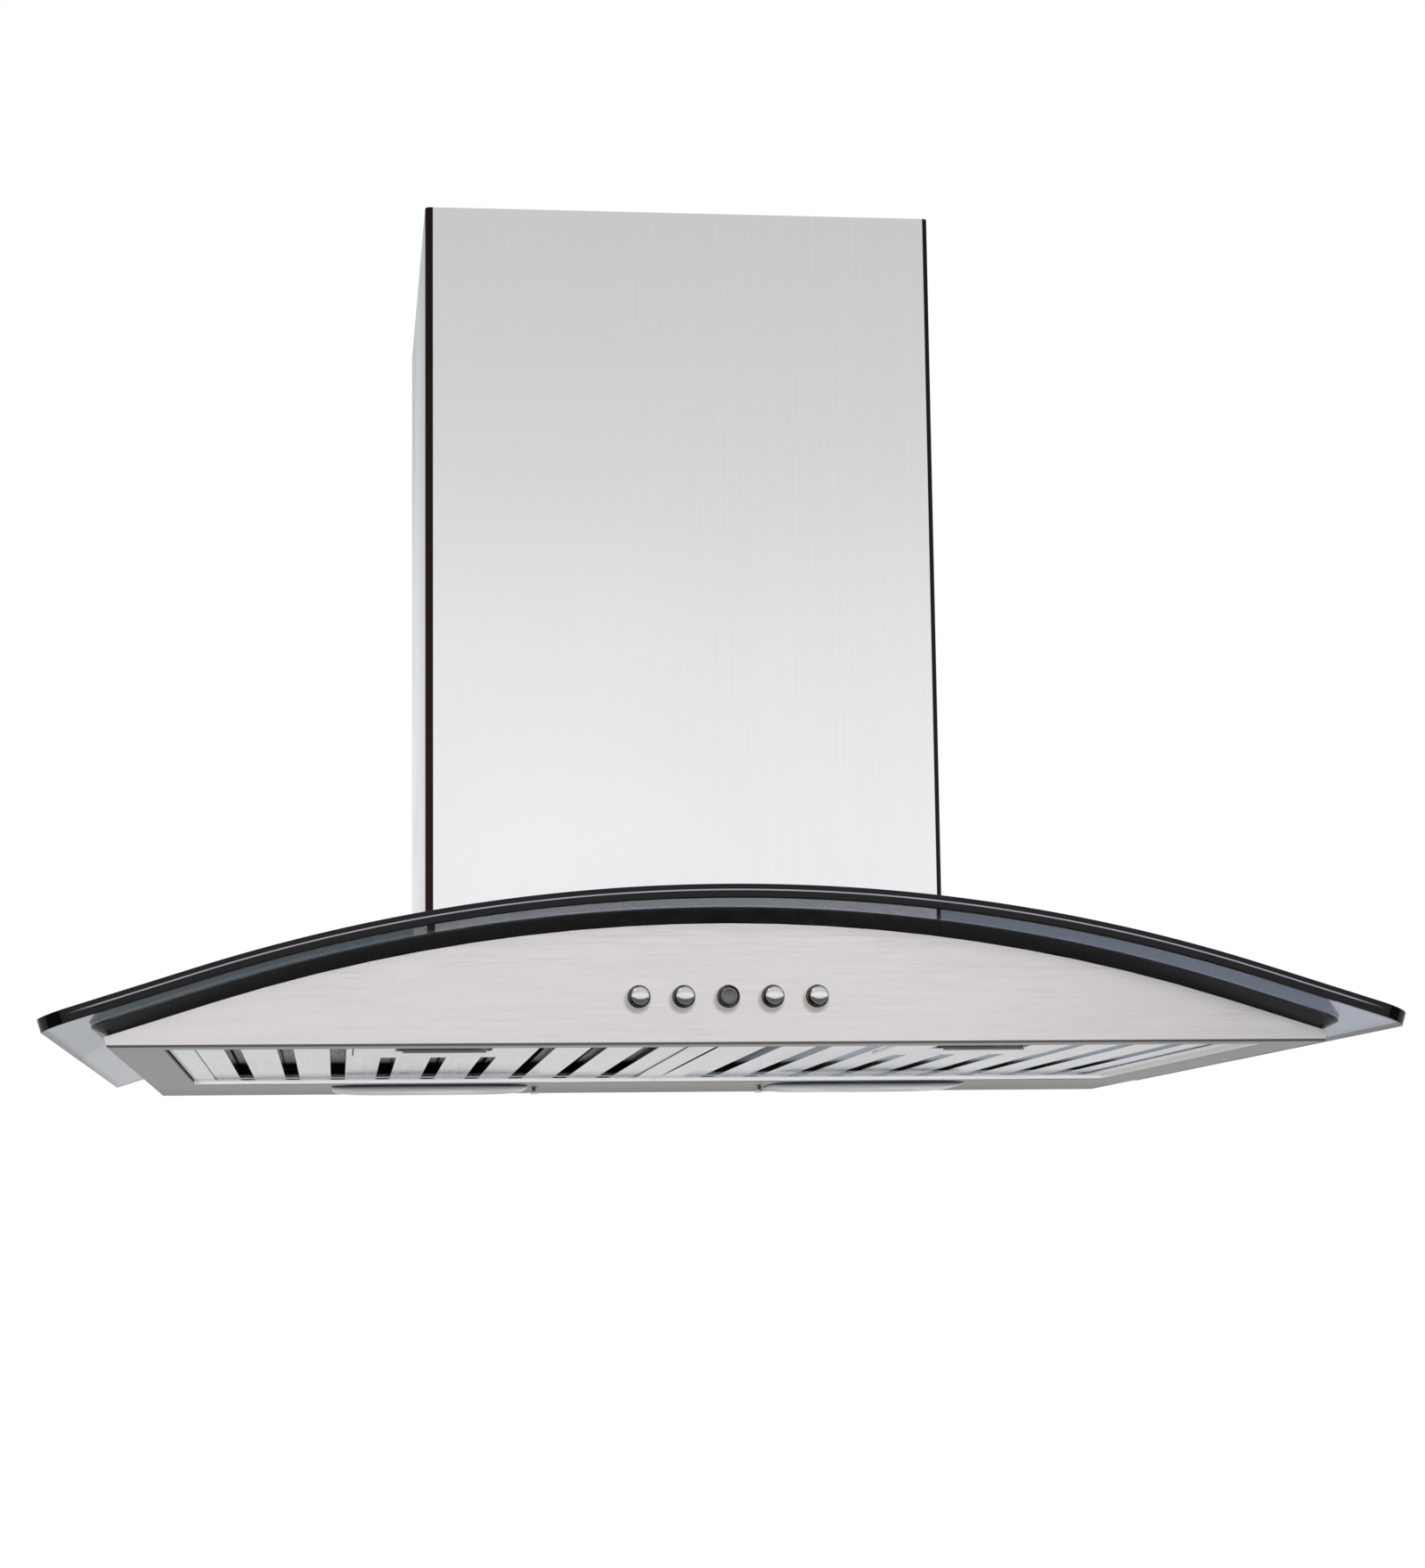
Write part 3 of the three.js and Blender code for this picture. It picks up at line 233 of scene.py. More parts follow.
def turned(
    name: str, profile: Sequence[Pair], centre: Sequence[float], axis: Axis, flats: int = 64
) -> bpy.types.Object:
    """A surface of revolution: each profile point (radius, distance) is carried in a full circle.

    Args:
        name: the new object's name.
        profile: radius and distance along the axis, from one end to the other.
        centre: the point on the axis from which distances are measured.
        axis: the direction in which distances grow.
        flats: number of steps in the circle.

    Returns:
        The closed object.
    """
    radius, along = np.array(profile, float).T[:, :, None]
    turn = np.linspace(0.0, 2.0 * math.pi, flats, endpoint=False)[None, :]
    u, v, w = radius * np.cos(turn), radius * np.sin(turn), along + 0.0 * turn
    order = {Axis.FRONT: (u, -w, v), Axis.UP: (u, v, w), Axis.RIGHT: (w, u, v)}[axis]
    points = np.stack(order, -1) + np.array(centre, float)
    return tidy(surface(name, points, around=True))


def rounded(points: Sequence[tuple[float, float]], radius: float, steps: int = 5) -> np.ndarray:
    """Rounds every inner corner of an open line with a smooth quadratic bend.

    Each corner p with neighbours a and b becomes (1-t)^2 p0 + 2t(1-t) p + t^2 p1, where p0 and p1 lie one
    radius back along the two sides, or half a side if that is shorter.

    Args:
        points: the corners.
        radius: how far back from a corner its bend starts.
        steps: pieces in each bend.

    Returns:
        The rounded line's points.
    """
    line = np.array(points, float)
    corner, before, after = line[1:-1], line[:-2], line[2:]
    back, ahead = before - corner, after - corner
    back_len = np.linalg.norm(back, axis=1, keepdims=True)
    ahead_len = np.linalg.norm(ahead, axis=1, keepdims=True)
    start = corner + back / back_len * np.minimum(radius, back_len / 2)
    end = corner + ahead / ahead_len * np.minimum(radius, ahead_len / 2)
    t = np.linspace(0.0, 1.0, steps + 1)[None, :, None]
    bends = (1 - t) ** 2 * start[:, None] + 2 * t * (1 - t) * corner[:, None] + t**2 * end[:, None]
    return np.vstack([line[:1], bends.reshape(-1, 2), line[-1:]])


def stand_for(item: bpy.types.Object, body: str, slot: str, *nodes: str) -> bpy.types.Object:
    """Puts a new piece in place of CAD nodes and lets it ride with their body.

    Args:
        item: the new piece.
        body: the CAD body it moves with.
        slot: the record's material slot; not used.
        nodes: the CAD nodes it replaces.

    Returns:
        The same piece.
    """
    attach(item, body)
    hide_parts(*nodes)
    LOG.info("%s stands for %s", item.name, ", ".join(nodes))
    return item


# ---- Shader building -----------------------------------------------------------------------------


class Nodes:
    """A short way to lay out and join shader nodes in one tree."""

    def __init__(self, tree: bpy.types.NodeTree) -> None:
        """Keeps the tree and starts placing nodes from the left."""
        self.tree = tree
        self.count = 0

    def add(self, kind: str, **values: object) -> bpy.types.Node:
        """Adds a node and sets its properties.

        Args:
            kind: the node's type name.
            values: properties to set on it.

        Returns:
            The node.
        """
        node = self.tree.nodes.new(kind)
        node.location = (190 * (self.count % 8), -220 * (self.count // 8))
        self.count += 1
        for key, value in values.items():
            setattr(node, key, value)
        return node

    def feed(self, socket: bpy.types.NodeSocket, value: object) -> None:
        """Links a socket to another, or sets its own value."""
        if isinstance(value, bpy.types.NodeSocket):
            self.tree.links.new(value, socket)
        else:
            socket.default_value = value

    def math(self, operation: str, a: object, b: object = 0.0, c: object = 0.0) -> bpy.types.NodeSocket:
        """One arithmetic step.

        Args:
            operation: the Math node's operation.
            a: first socket or number.
            b: second socket or number.
            c: third socket or number, for the operations that read one.

        Returns:
            The result's socket.
        """
        node = self.add("ShaderNodeMath", operation=operation)
        for socket, value in zip(node.inputs, (a, b, c)):
            self.feed(socket, value)
        return node.outputs[0]

    def near(self, value: object, target: float, reach: float) -> bpy.types.NodeSocket:
        """1 where a value lies within reach of the target, else 0."""
        away = self.math("ABSOLUTE", self.math("SUBTRACT", value, target))
        return self.math("LESS_THAN", away, reach)

    def length(self, a: object, b: object) -> bpy.types.NodeSocket:
        """The far side of a right angle with sides a and b."""
        squares = self.math("ADD", self.math("MULTIPLY", a, a), self.math("MULTIPLY", b, b))
        return self.math("SQRT", squares)

    def rise(
        self, value: object, low: float, high: float, start: float = 0.0, end: float = 1.0
    ) -> bpy.types.NodeSocket:
        """A clamped smooth rise: value from low to high becomes start to end.

        Args:
            value: socket to read.
            low: where the rise starts.
            high: where it ends.
            start: result at low.
            end: result at high.

        Returns:
            The result's socket.
        """
        node = self.add("ShaderNodeMapRange", interpolation_type="SMOOTHSTEP")
        for socket, number in zip(node.inputs[1:5], (low, high, start, end)):
            socket.default_value = number
        self.feed(node.inputs[0], value)
        return node.outputs[0]

    def rise_linear(self, value: object, low: float, high: float) -> bpy.types.NodeSocket:
        """Value from low to high as a share from 0 to 1, in a straight line.

        Args:
            value: socket to read.
            low: value that becomes 0.
            high: value that becomes 1.

        Returns:
            The share's socket.
        """
        node = self.add("ShaderNodeMapRange")
        node.inputs[1].default_value, node.inputs[2].default_value = low, high
        self.feed(node.inputs[0], value)
        return node.outputs[0]

    def blend(self, factor: object, a: object, b: object) -> bpy.types.NodeSocket:
        """A colour between a and b.

        Args:
            factor: 0 gives a, 1 gives b.
            a: first colour.
            b: second colour.

        Returns:
            The colour's socket.
        """
        node = self.add("ShaderNodeMix", data_type="RGBA")
        self.feed(node.inputs[0], factor)
        self.feed(node.inputs[6], a)
        self.feed(node.inputs[7], b)
        return node.outputs[2]

    def place(
        self, centre: Sequence[float] = (0, 0, 0), scale: Sequence[float] = (1, 1, 1)
    ) -> bpy.types.NodeSocket:
        """Object coordinates, centred and scaled by a Mapping node.

        Args:
            centre: the point that becomes the pattern's origin.
            scale: how the pattern is stretched.

        Returns:
            The coordinates' socket.
        """
        source = self.add("ShaderNodeTexCoord")
        mapping = self.add("ShaderNodeMapping")
        mapping.inputs["Location"].default_value = [-c * s for c, s in zip(centre, scale)]
        mapping.inputs["Scale"].default_value = scale
        self.tree.links.new(source.outputs["Object"], mapping.inputs["Vector"])
        return mapping.outputs["Vector"]

    def axes(self, vector: bpy.types.NodeSocket) -> list[bpy.types.NodeSocket]:
        """The three parts of a vector socket."""
        node = self.add("ShaderNodeSeparateXYZ")
        self.feed(node.inputs[0], vector)
        return list(node.outputs)

    def group(self, tree: bpy.types.NodeTree, **values: object) -> bpy.types.Node:
        """Places a shared effect and gives it this material's values.

        Args:
            tree: the effect's node group.
            values: its inputs by name, with _ for a space.

        Returns:
            The group node.
        """
        node = self.add("ShaderNodeGroup", node_tree=tree)
        for key, value in values.items():
            self.feed(node.inputs[key.replace("_", " ")], value)
        return node


def new_group(
    name: str, inputs: dict[str, tuple[str, object]], outputs: Sequence[str]
) -> tuple[Nodes, object, object]:
    """Starts a shared shader effect.

    Args:
        name: the group's name.
        inputs: socket type and default for each input.
        outputs: names of its number outputs.

    Returns:
        The node layer, the group's input node and its output node.
    """
    tree = bpy.data.node_groups.new(name, "ShaderNodeTree")
    for key, (kind, default) in inputs.items():
        socket = tree.interface.new_socket(name=key, in_out="INPUT", socket_type=kind)
        socket.default_value = default
    for key in outputs:
        tree.interface.new_socket(name=key, in_out="OUTPUT", socket_type="NodeSocketFloat")
    nodes = Nodes(tree)
    return nodes, nodes.add("NodeGroupInput"), nodes.add("NodeGroupOutput")


@dataclass
class SharedEffects:
    """The effects that several finishes use, each built once as a node group."""

    streaks: bpy.types.NodeTree = field(init=False)
    clouds: bpy.types.NodeTree = field(init=False)
    speckle: bpy.types.NodeTree = field(init=False)

    def __post_init__(self) -> None:
        """Builds the groups."""
        self.streaks = self._streaks()
        self.clouds = self._clouds()
        self.speckle = self._speckle()

    def _streaks(self) -> bpy.types.NodeTree:
        """Brushing: fine stretched noise over broader, fainter bands.

        Returns:
            A group from Vector and Fineness to Mask.
        """
        inputs = {"Vector": ("NodeSocketVector", (0, 0, 0)), "Fineness": ("NodeSocketFloat", 1.0)}
        nodes, source, sink = new_group("brushing", inputs, ["Mask"])
        layers = []
        for scale, detail in ((1.0, 3.0), (0.31, 2.0)):
            noise = nodes.add("ShaderNodeTexNoise")
            noise.inputs["Detail"].default_value = detail
            noise.inputs["Roughness"].default_value = 0.65
            nodes.feed(noise.inputs["Vector"], source.outputs["Vector"])
            nodes.feed(noise.inputs["Scale"], nodes.math("MULTIPLY", source.outputs["Fineness"], scale))
            layers.append(noise.outputs["Fac"])
        fine = nodes.math("MULTIPLY", layers[0], 0.65)
        broad = nodes.math("MULTIPLY", layers[1], 0.35)
        nodes.feed(sink.inputs["Mask"], nodes.rise(nodes.math("ADD", fine, broad), 0.3, 0.7))
        return nodes.tree

    def _clouds(self) -> bpy.types.NodeTree:
        """Handling marks: broad soft noise.

        Returns:
            A group from Vector and Scale to Mask.
        """
        inputs = {"Vector": ("NodeSocketVector", (0, 0, 0)), "Scale": ("NodeSocketFloat", 9.0)}
        nodes, source, sink = new_group("handling_marks", inputs, ["Mask"])
        noise = nodes.add("ShaderNodeTexNoise")
        noise.inputs["Detail"].default_value = 4.0
        noise.inputs["Distortion"].default_value = 0.6
        nodes.feed(noise.inputs["Vector"], source.outputs["Vector"])
        nodes.feed(noise.inputs["Scale"], source.outputs["Scale"])
        nodes.feed(sink.inputs["Mask"], nodes.rise(noise.outputs["Fac"], 0.32, 0.68))
        return nodes.tree

    def _speckle(self) -> bpy.types.NodeTree:
        """Zinc spangle and moulding texture: flat cells with a little fine noise.

        Returns:
            A group from Vector and Scale to Mask.
        """
        inputs = {"Vector": ("NodeSocketVector", (0, 0, 0)), "Scale": ("NodeSocketFloat", 120.0)}
        nodes, source, sink = new_group("spangle", inputs, ["Mask"])
        cells = nodes.add("ShaderNodeTexVoronoi")
        noise = nodes.add("ShaderNodeTexNoise")
        for texture in (cells, noise):
            nodes.feed(texture.inputs["Vector"], source.outputs["Vector"])
            nodes.feed(texture.inputs["Scale"], source.outputs["Scale"])
        shade = nodes.axes(cells.outputs["Color"])[0]
        cell_share = nodes.math("MULTIPLY", shade, 0.7)
        mixed = nodes.math("ADD", cell_share, nodes.math("MULTIPLY", noise.outputs["Fac"], 0.3))
        nodes.feed(sink.inputs["Mask"], mixed)
        return nodes.tree


Colour = tuple[float, float, float]


def rgba(colour: Colour) -> tuple[float, float, float, float]:
    """A colour with full opacity."""
    return (*colour, 1.0)


def start_material(name: str) -> tuple[bpy.types.Material, Nodes, bpy.types.Node]:
    """A new material with its surface shader.

    Args:
        name: the material's name.

    Returns:
        The material, its node layer and the Principled shader.
    """
    material = bpy.data.materials.new(name)
    material.use_nodes = True
    return material, Nodes(material.node_tree), material.node_tree.nodes["Principled BSDF"]


def add_bump(nodes: Nodes, shader: bpy.types.Node, height: bpy.types.NodeSocket, depth: float) -> None:
    """Raises the surface by a height pattern.

    Args:
        nodes: the material's node layer.
        shader: the shader whose normal is bent.
        height: the pattern.
        depth: its depth in metres.
    """
    bump = nodes.add("ShaderNodeBump")
    bump.inputs["Distance"].default_value = depth
    bump.inputs["Strength"].default_value = 1.0
    nodes.feed(bump.inputs["Height"], height)
    nodes.feed(shader.inputs["Normal"], bump.outputs["Normal"])


@dataclass(frozen=True)
class BrushedMetal:
    """Sheet metal with brushing along one axis and faint handling marks; it can also carry painted shade: a
    dark line at the hem, soft painted shadows below and left of a row of controls, and a darkening towards
    one end.
    """

    name: str
    light: Colour
    dark: Colour
    roughness: tuple[float, float]
    stretch: tuple[float, float, float] = (0.02, 1.0, 1.0)
    fineness: float = 1400.0
    depth: float = 2e-6
    painted_hem_shade: tuple[float, float, float] | None = None
    painted_shade_across: tuple[float, float, float] | None = None
    controls: tuple[float, float, float] | None = None

    def material(self, effects: SharedEffects) -> bpy.types.Material:
        """Builds the finish.

        Args:
            effects: the shared node groups.

        Returns:
            The material.
        """
        material, nodes, shader = start_material(self.name)
        shader.inputs["Metallic"].default_value = 1.0
        grain = nodes.group(effects.streaks, Vector=nodes.place(scale=self.stretch), Fineness=self.fineness)
        marks = nodes.group(effects.clouds, Vector=nodes.place(), Scale=7.0)
        brushing = nodes.math("MULTIPLY", grain.outputs[0], 0.75)
        mask = nodes.math("ADD", brushing, nodes.math("MULTIPLY", marks.outputs[0], 0.25))
        colour = nodes.blend(mask, rgba(self.dark), rgba(self.light))
        # painted shade: the sheet darkens towards one end across x
        if self.painted_shade_across:
            start, end, share = self.painted_shade_across
            across = nodes.rise(nodes.axes(nodes.place())[0], start, end, 0.0, share)
            colour = nodes.blend(across, colour, (0.3, 0.29, 0.29, 1.0))
        if self.controls:
            colour = nodes.blend(self._contact_shade(nodes), colour, (0.12, 0.11, 0.1, 1.0))
        # painted shade: a near-black line along the bottom edge stands for the shade on the folded hem
        if self.painted_hem_shade:
            bottom, height, share = self.painted_hem_shade
            z = nodes.axes(nodes.place())[2]
            line = nodes.rise(z, bottom + height * 0.8, bottom + height, share, 0.0)
            colour = nodes.blend(line, colour, (0.01, 0.01, 0.011, 1.0))
        nodes.feed(shader.inputs["Base Color"], colour)
        low, high = self.roughness
        nodes.feed(shader.inputs["Roughness"], nodes.rise(mask, 0.1, 0.9, low, high))
        add_bump(nodes, shader, grain.outputs[0], self.depth)
        return material

    def _contact_shade(self, nodes: Nodes) -> bpy.types.NodeSocket:
        """The soft shade below and left of each control in the row.

        The row repeats every pitch, so x is wrapped to one control's own axis before the distance is taken.

        Args:
            nodes: the material's node layer.

        Returns:
            The shade, 0 to 0.5.
        """
        pitch, half, height = self.controls
        x, _, z = nodes.axes(nodes.place())
        beside = nodes.math("ADD", nodes.math("WRAP", x, pitch / 2, -pitch / 2), 0.0009)
        above = nodes.math("ADD", nodes.math("SUBTRACT", z, height), 0.0018)
        near = nodes.rise(nodes.length(beside, above), 0.0046, 0.0068, 0.5, 0.0)
        row = nodes.math("LESS_THAN", nodes.math("ABSOLUTE", x), half)
        return nodes.math("MULTIPLY", near, row)


@dataclass(frozen=True)
class PanSteel:
    """The underside's satin steel: painted shade makes it dark inside the bay's left wall and darker towards
    the back; painted light makes it bright on its right and back walls.
    """

    name: str
    light: Colour = (0.47, 0.455, 0.44)
    dark: Colour = (0.39, 0.38, 0.36)
    # painted shade: near-black for the bay's left wall and the darkening towards the back
    wall: Colour = (0.02, 0.016, 0.014)
    # painted highlight: the base colour of the bay's back wall
    bright: Colour = (0.9, 0.89, 0.87)
    # painted light: the bay's back and right walls glow as if lit
    painted_rear_light: Colour = (0.4, 0.4, 0.4)
    painted_right_light: Colour = (0.26, 0.26, 0.25)
    bay_half: float = 0.2492
    bay_back: float = -0.122
    plate_top: float = -0.0273
    reach: float = 0.0009

    def material(self, effects: SharedEffects) -> bpy.types.Material:
        """Builds the finish.

        Args:
            effects: the shared node groups.

        Returns:
            The material.
        """
        material, nodes, shader = start_material(self.name)
        shader.inputs["Metallic"].default_value = 1.0
        x, y, z = nodes.axes(nodes.place())
        grain = nodes.group(effects.streaks, Vector=nodes.place(scale=(0.02, 1.0, 1.0)), Fineness=1300.0)
        marks = nodes.group(effects.clouds, Vector=nodes.place(), Scale=7.0)
        mask = nodes.math("MULTIPLY", grain.outputs[0], nodes.rise(marks.outputs[0], 0.0, 1.0, 0.6, 1.0))
        sheet = nodes.blend(mask, rgba(self.dark), rgba(self.light))
        # painted shade: the sheet darkens towards the back
        painted_back_shade = nodes.rise(y, self.bay_back, 0.0, 0.0, 0.35)
        sheet = nodes.blend(painted_back_shade, sheet, rgba(self.wall))
        risen = nodes.rise(z, self.plate_top - 0.001, self.plate_top - 0.0008)
        left = nodes.near(x, -self.bay_half, self.reach)
        right = nodes.near(x, self.bay_half, self.reach)
        behind = nodes.near(y, self.bay_back, self.reach)
        # painted shade on the bay's left wall, painted highlight on its back wall
        sheet = nodes.blend(nodes.math("MULTIPLY", risen, left), sheet, rgba(self.wall))
        sheet = nodes.blend(nodes.math("MULTIPLY", risen, behind), sheet, rgba(self.bright))
        nodes.feed(shader.inputs["Base Color"], sheet)
        # painted light: emission on the bay's back and right walls
        lit = nodes.blend(nodes.math("MULTIPLY", risen, behind), (0, 0, 0, 1), rgba(self.painted_rear_light))
        lit = nodes.blend(nodes.math("MULTIPLY", risen, right), lit, rgba(self.painted_right_light))
        nodes.feed(shader.inputs["Emission Color"], lit)
        shader.inputs["Emission Strength"].default_value = 1.0
        nodes.feed(shader.inputs["Roughness"], nodes.rise(mask, 0.0, 1.0, 0.32, 0.44))
        add_bump(nodes, shader, grain.outputs[0], 2e-6)
        return material


@dataclass(frozen=True)
class FilterFrame:
    """Polished aluminium with painted shade: its inner end walls and its left edge are painted dark, with a
    bright notch left at the end walls' foot.
    """

    name: str
    light: Colour = (0.78, 0.8, 0.82)
    dark: Colour = (0.7, 0.72, 0.745)
    # painted shade colour for the inner end walls and the left edge
    inside: Colour = (0.02, 0.017, 0.015)
    end_wall: float = -0.138
    foot: float = -0.0252
    notch: float = 0.0016
    left_edge: float = -0.2468

    def material(self, effects: SharedEffects) -> bpy.types.Material:
        """Builds the finish.

        Args:
            effects: the shared node groups.

        Returns:
            The material.
        """
        material, nodes, shader = start_material(self.name)
        shader.inputs["Metallic"].default_value = 1.0
        x, y, z = nodes.axes(nodes.place())
        grain = nodes.group(effects.streaks, Vector=nodes.place(scale=(1.0, 0.02, 1.0)), Fineness=1400.0)
        marks = nodes.group(effects.clouds, Vector=nodes.place(), Scale=7.0)
        mask = nodes.math("MULTIPLY", grain.outputs[0], nodes.rise(marks.outputs[0], 0.0, 1.0, 0.5, 1.0))
        sheet = nodes.blend(mask, rgba(self.dark), rgba(self.light))
        # painted shade: dark on the inner end walls above the notch and beyond the left edge
        inner = nodes.near(y, self.end_wall, 0.004)
        above = nodes.rise(z, self.foot + self.notch * 0.6, self.foot + self.notch)
        outer = nodes.rise(x, self.left_edge, self.left_edge + 0.0004, 1.0, 0.0)
        shadow = nodes.math("MAXIMUM", nodes.math("MULTIPLY", inner, above), outer)
        nodes.feed(shader.inputs["Base Color"], nodes.blend(shadow, sheet, rgba(self.inside)))
        nodes.feed(shader.inputs["Roughness"], nodes.rise(mask, 0.0, 1.0, 0.08, 0.15))
        return material


@dataclass(frozen=True)
class BaffleCap:
    """The baffles behind the slots, with painted light and shade: painted shade on one side, painted light as
    bright colour and glow on the other.
    """

    name: str
    # painted shade and painted light: a shaded and a lit copy of the baffle colour, and a painted glow
    shade: Colour = (0.035, 0.033, 0.033)
    lit: Colour = (0.66, 0.68, 0.7)
    painted_glow: Colour = (0.26, 0.275, 0.29)
    start: float = -0.02
    end: float = 0.1
    back: float = -0.1365
    reach: float = 0.03

    def material(self, effects: SharedEffects) -> bpy.types.Material:
        """Builds the finish.

        Args:
            effects: the shared node groups.

        Returns:
            The material.
        """
        material, nodes, shader = start_material(self.name)
        shader.inputs["Metallic"].default_value = 1.0
        x, y, _ = nodes.axes(nodes.place())
        grain = nodes.group(effects.streaks, Vector=nodes.place(scale=(1.0, 0.02, 1.0)), Fineness=900.0)
        # painted light towards +x and away from the back, painted shade elsewhere
        ahead = nodes.rise(y, self.back - self.reach, self.back, 1.0, 0.0)
        share = nodes.math("MULTIPLY", nodes.rise(x, self.start, self.end), ahead)
        painted_light_mask = nodes.math("MULTIPLY", share, nodes.rise(grain.outputs[0], 0.0, 1.0, 0.8, 1.0))
        nodes.feed(shader.inputs["Base Color"], nodes.blend(painted_light_mask, rgba(self.shade), rgba(self.lit)))
        nodes.feed(shader.inputs["Roughness"], nodes.rise(grain.outputs[0], 0.0, 1.0, 0.26, 0.4))
        nodes.feed(shader.inputs["Emission Color"], nodes.blend(painted_light_mask, (0, 0, 0, 1), rgba(self.painted_glow)))
        shader.inputs["Emission Strength"].default_value = 1.0
        return material


@dataclass(frozen=True)
class MirrorSteel:
    """Bright chimney sheet with painted shade: dark painted reflections in the folds at its two front
    corners, and darker side faces.
    """

    name: str
    tint: Colour
    roughness: tuple[float, float]
    # painted shade colour for the side faces
    flank_shade: Colour = (0.66, 0.655, 0.655)
    seams: tuple[float, float] = (0.0038, 0.0026)
    half: float = 0.13
    front: float = -0.291
    fold: float = 0.003

    def material(self, effects: SharedEffects) -> bpy.types.Material:
        """Builds the finish.

        Args:
            effects: the shared node groups.

        Returns:
            The material.
        """
        material, nodes, shader = start_material(self.name)
        shader.inputs["Metallic"].default_value = 1.0
        x, y, _ = nodes.axes(nodes.place())
        # painted reflection: near-black lines in the two front folds stand for the dark reflected there
        left = nodes.rise(x, self.seams[0] - self.half, self.seams[0] - self.half + 0.0003, 1.0, 0.0)
        right = nodes.rise(x, self.half - self.seams[1] - 0.0003, self.half - self.seams[1])
        beside = nodes.math("MAXIMUM", left, right)
        before = nodes.rise(y, self.front + self.fold * 0.9, self.front + self.fold * 1.15, 1.0, 0.0)
        painted_fold_shade = nodes.math("MULTIPLY", beside, before)
        marks = nodes.group(effects.clouds, Vector=nodes.place(), Scale=4.0)
        grain = nodes.group(effects.streaks, Vector=nodes.place(scale=(1.0, 1.0, 0.01)), Fineness=1600.0)
        lifted = tuple(c * 0.965 for c in self.tint)
        both = nodes.math("MULTIPLY", marks.outputs[0], grain.outputs[0])
        sheet = nodes.blend(both, rgba(self.tint), rgba(lifted))
        # painted shade: the side faces get a darker copy of the sheet colour
        flank_shade = nodes.rise(y, self.front + self.fold, self.front + self.fold * 2.0)
        sheet = nodes.blend(flank_shade, sheet, rgba(self.flank_shade))
        nodes.feed(shader.inputs["Base Color"], nodes.blend(painted_fold_shade, sheet, (0.022, 0.016, 0.013, 1.0)))
        shader.inputs["Specular Tint"].default_value = (0.74, 0.735, 0.73, 1.0)
        low, high = self.roughness
        nodes.feed(shader.inputs["Roughness"], nodes.rise(marks.outputs[0], 0.0, 1.0, low, high))
        return material


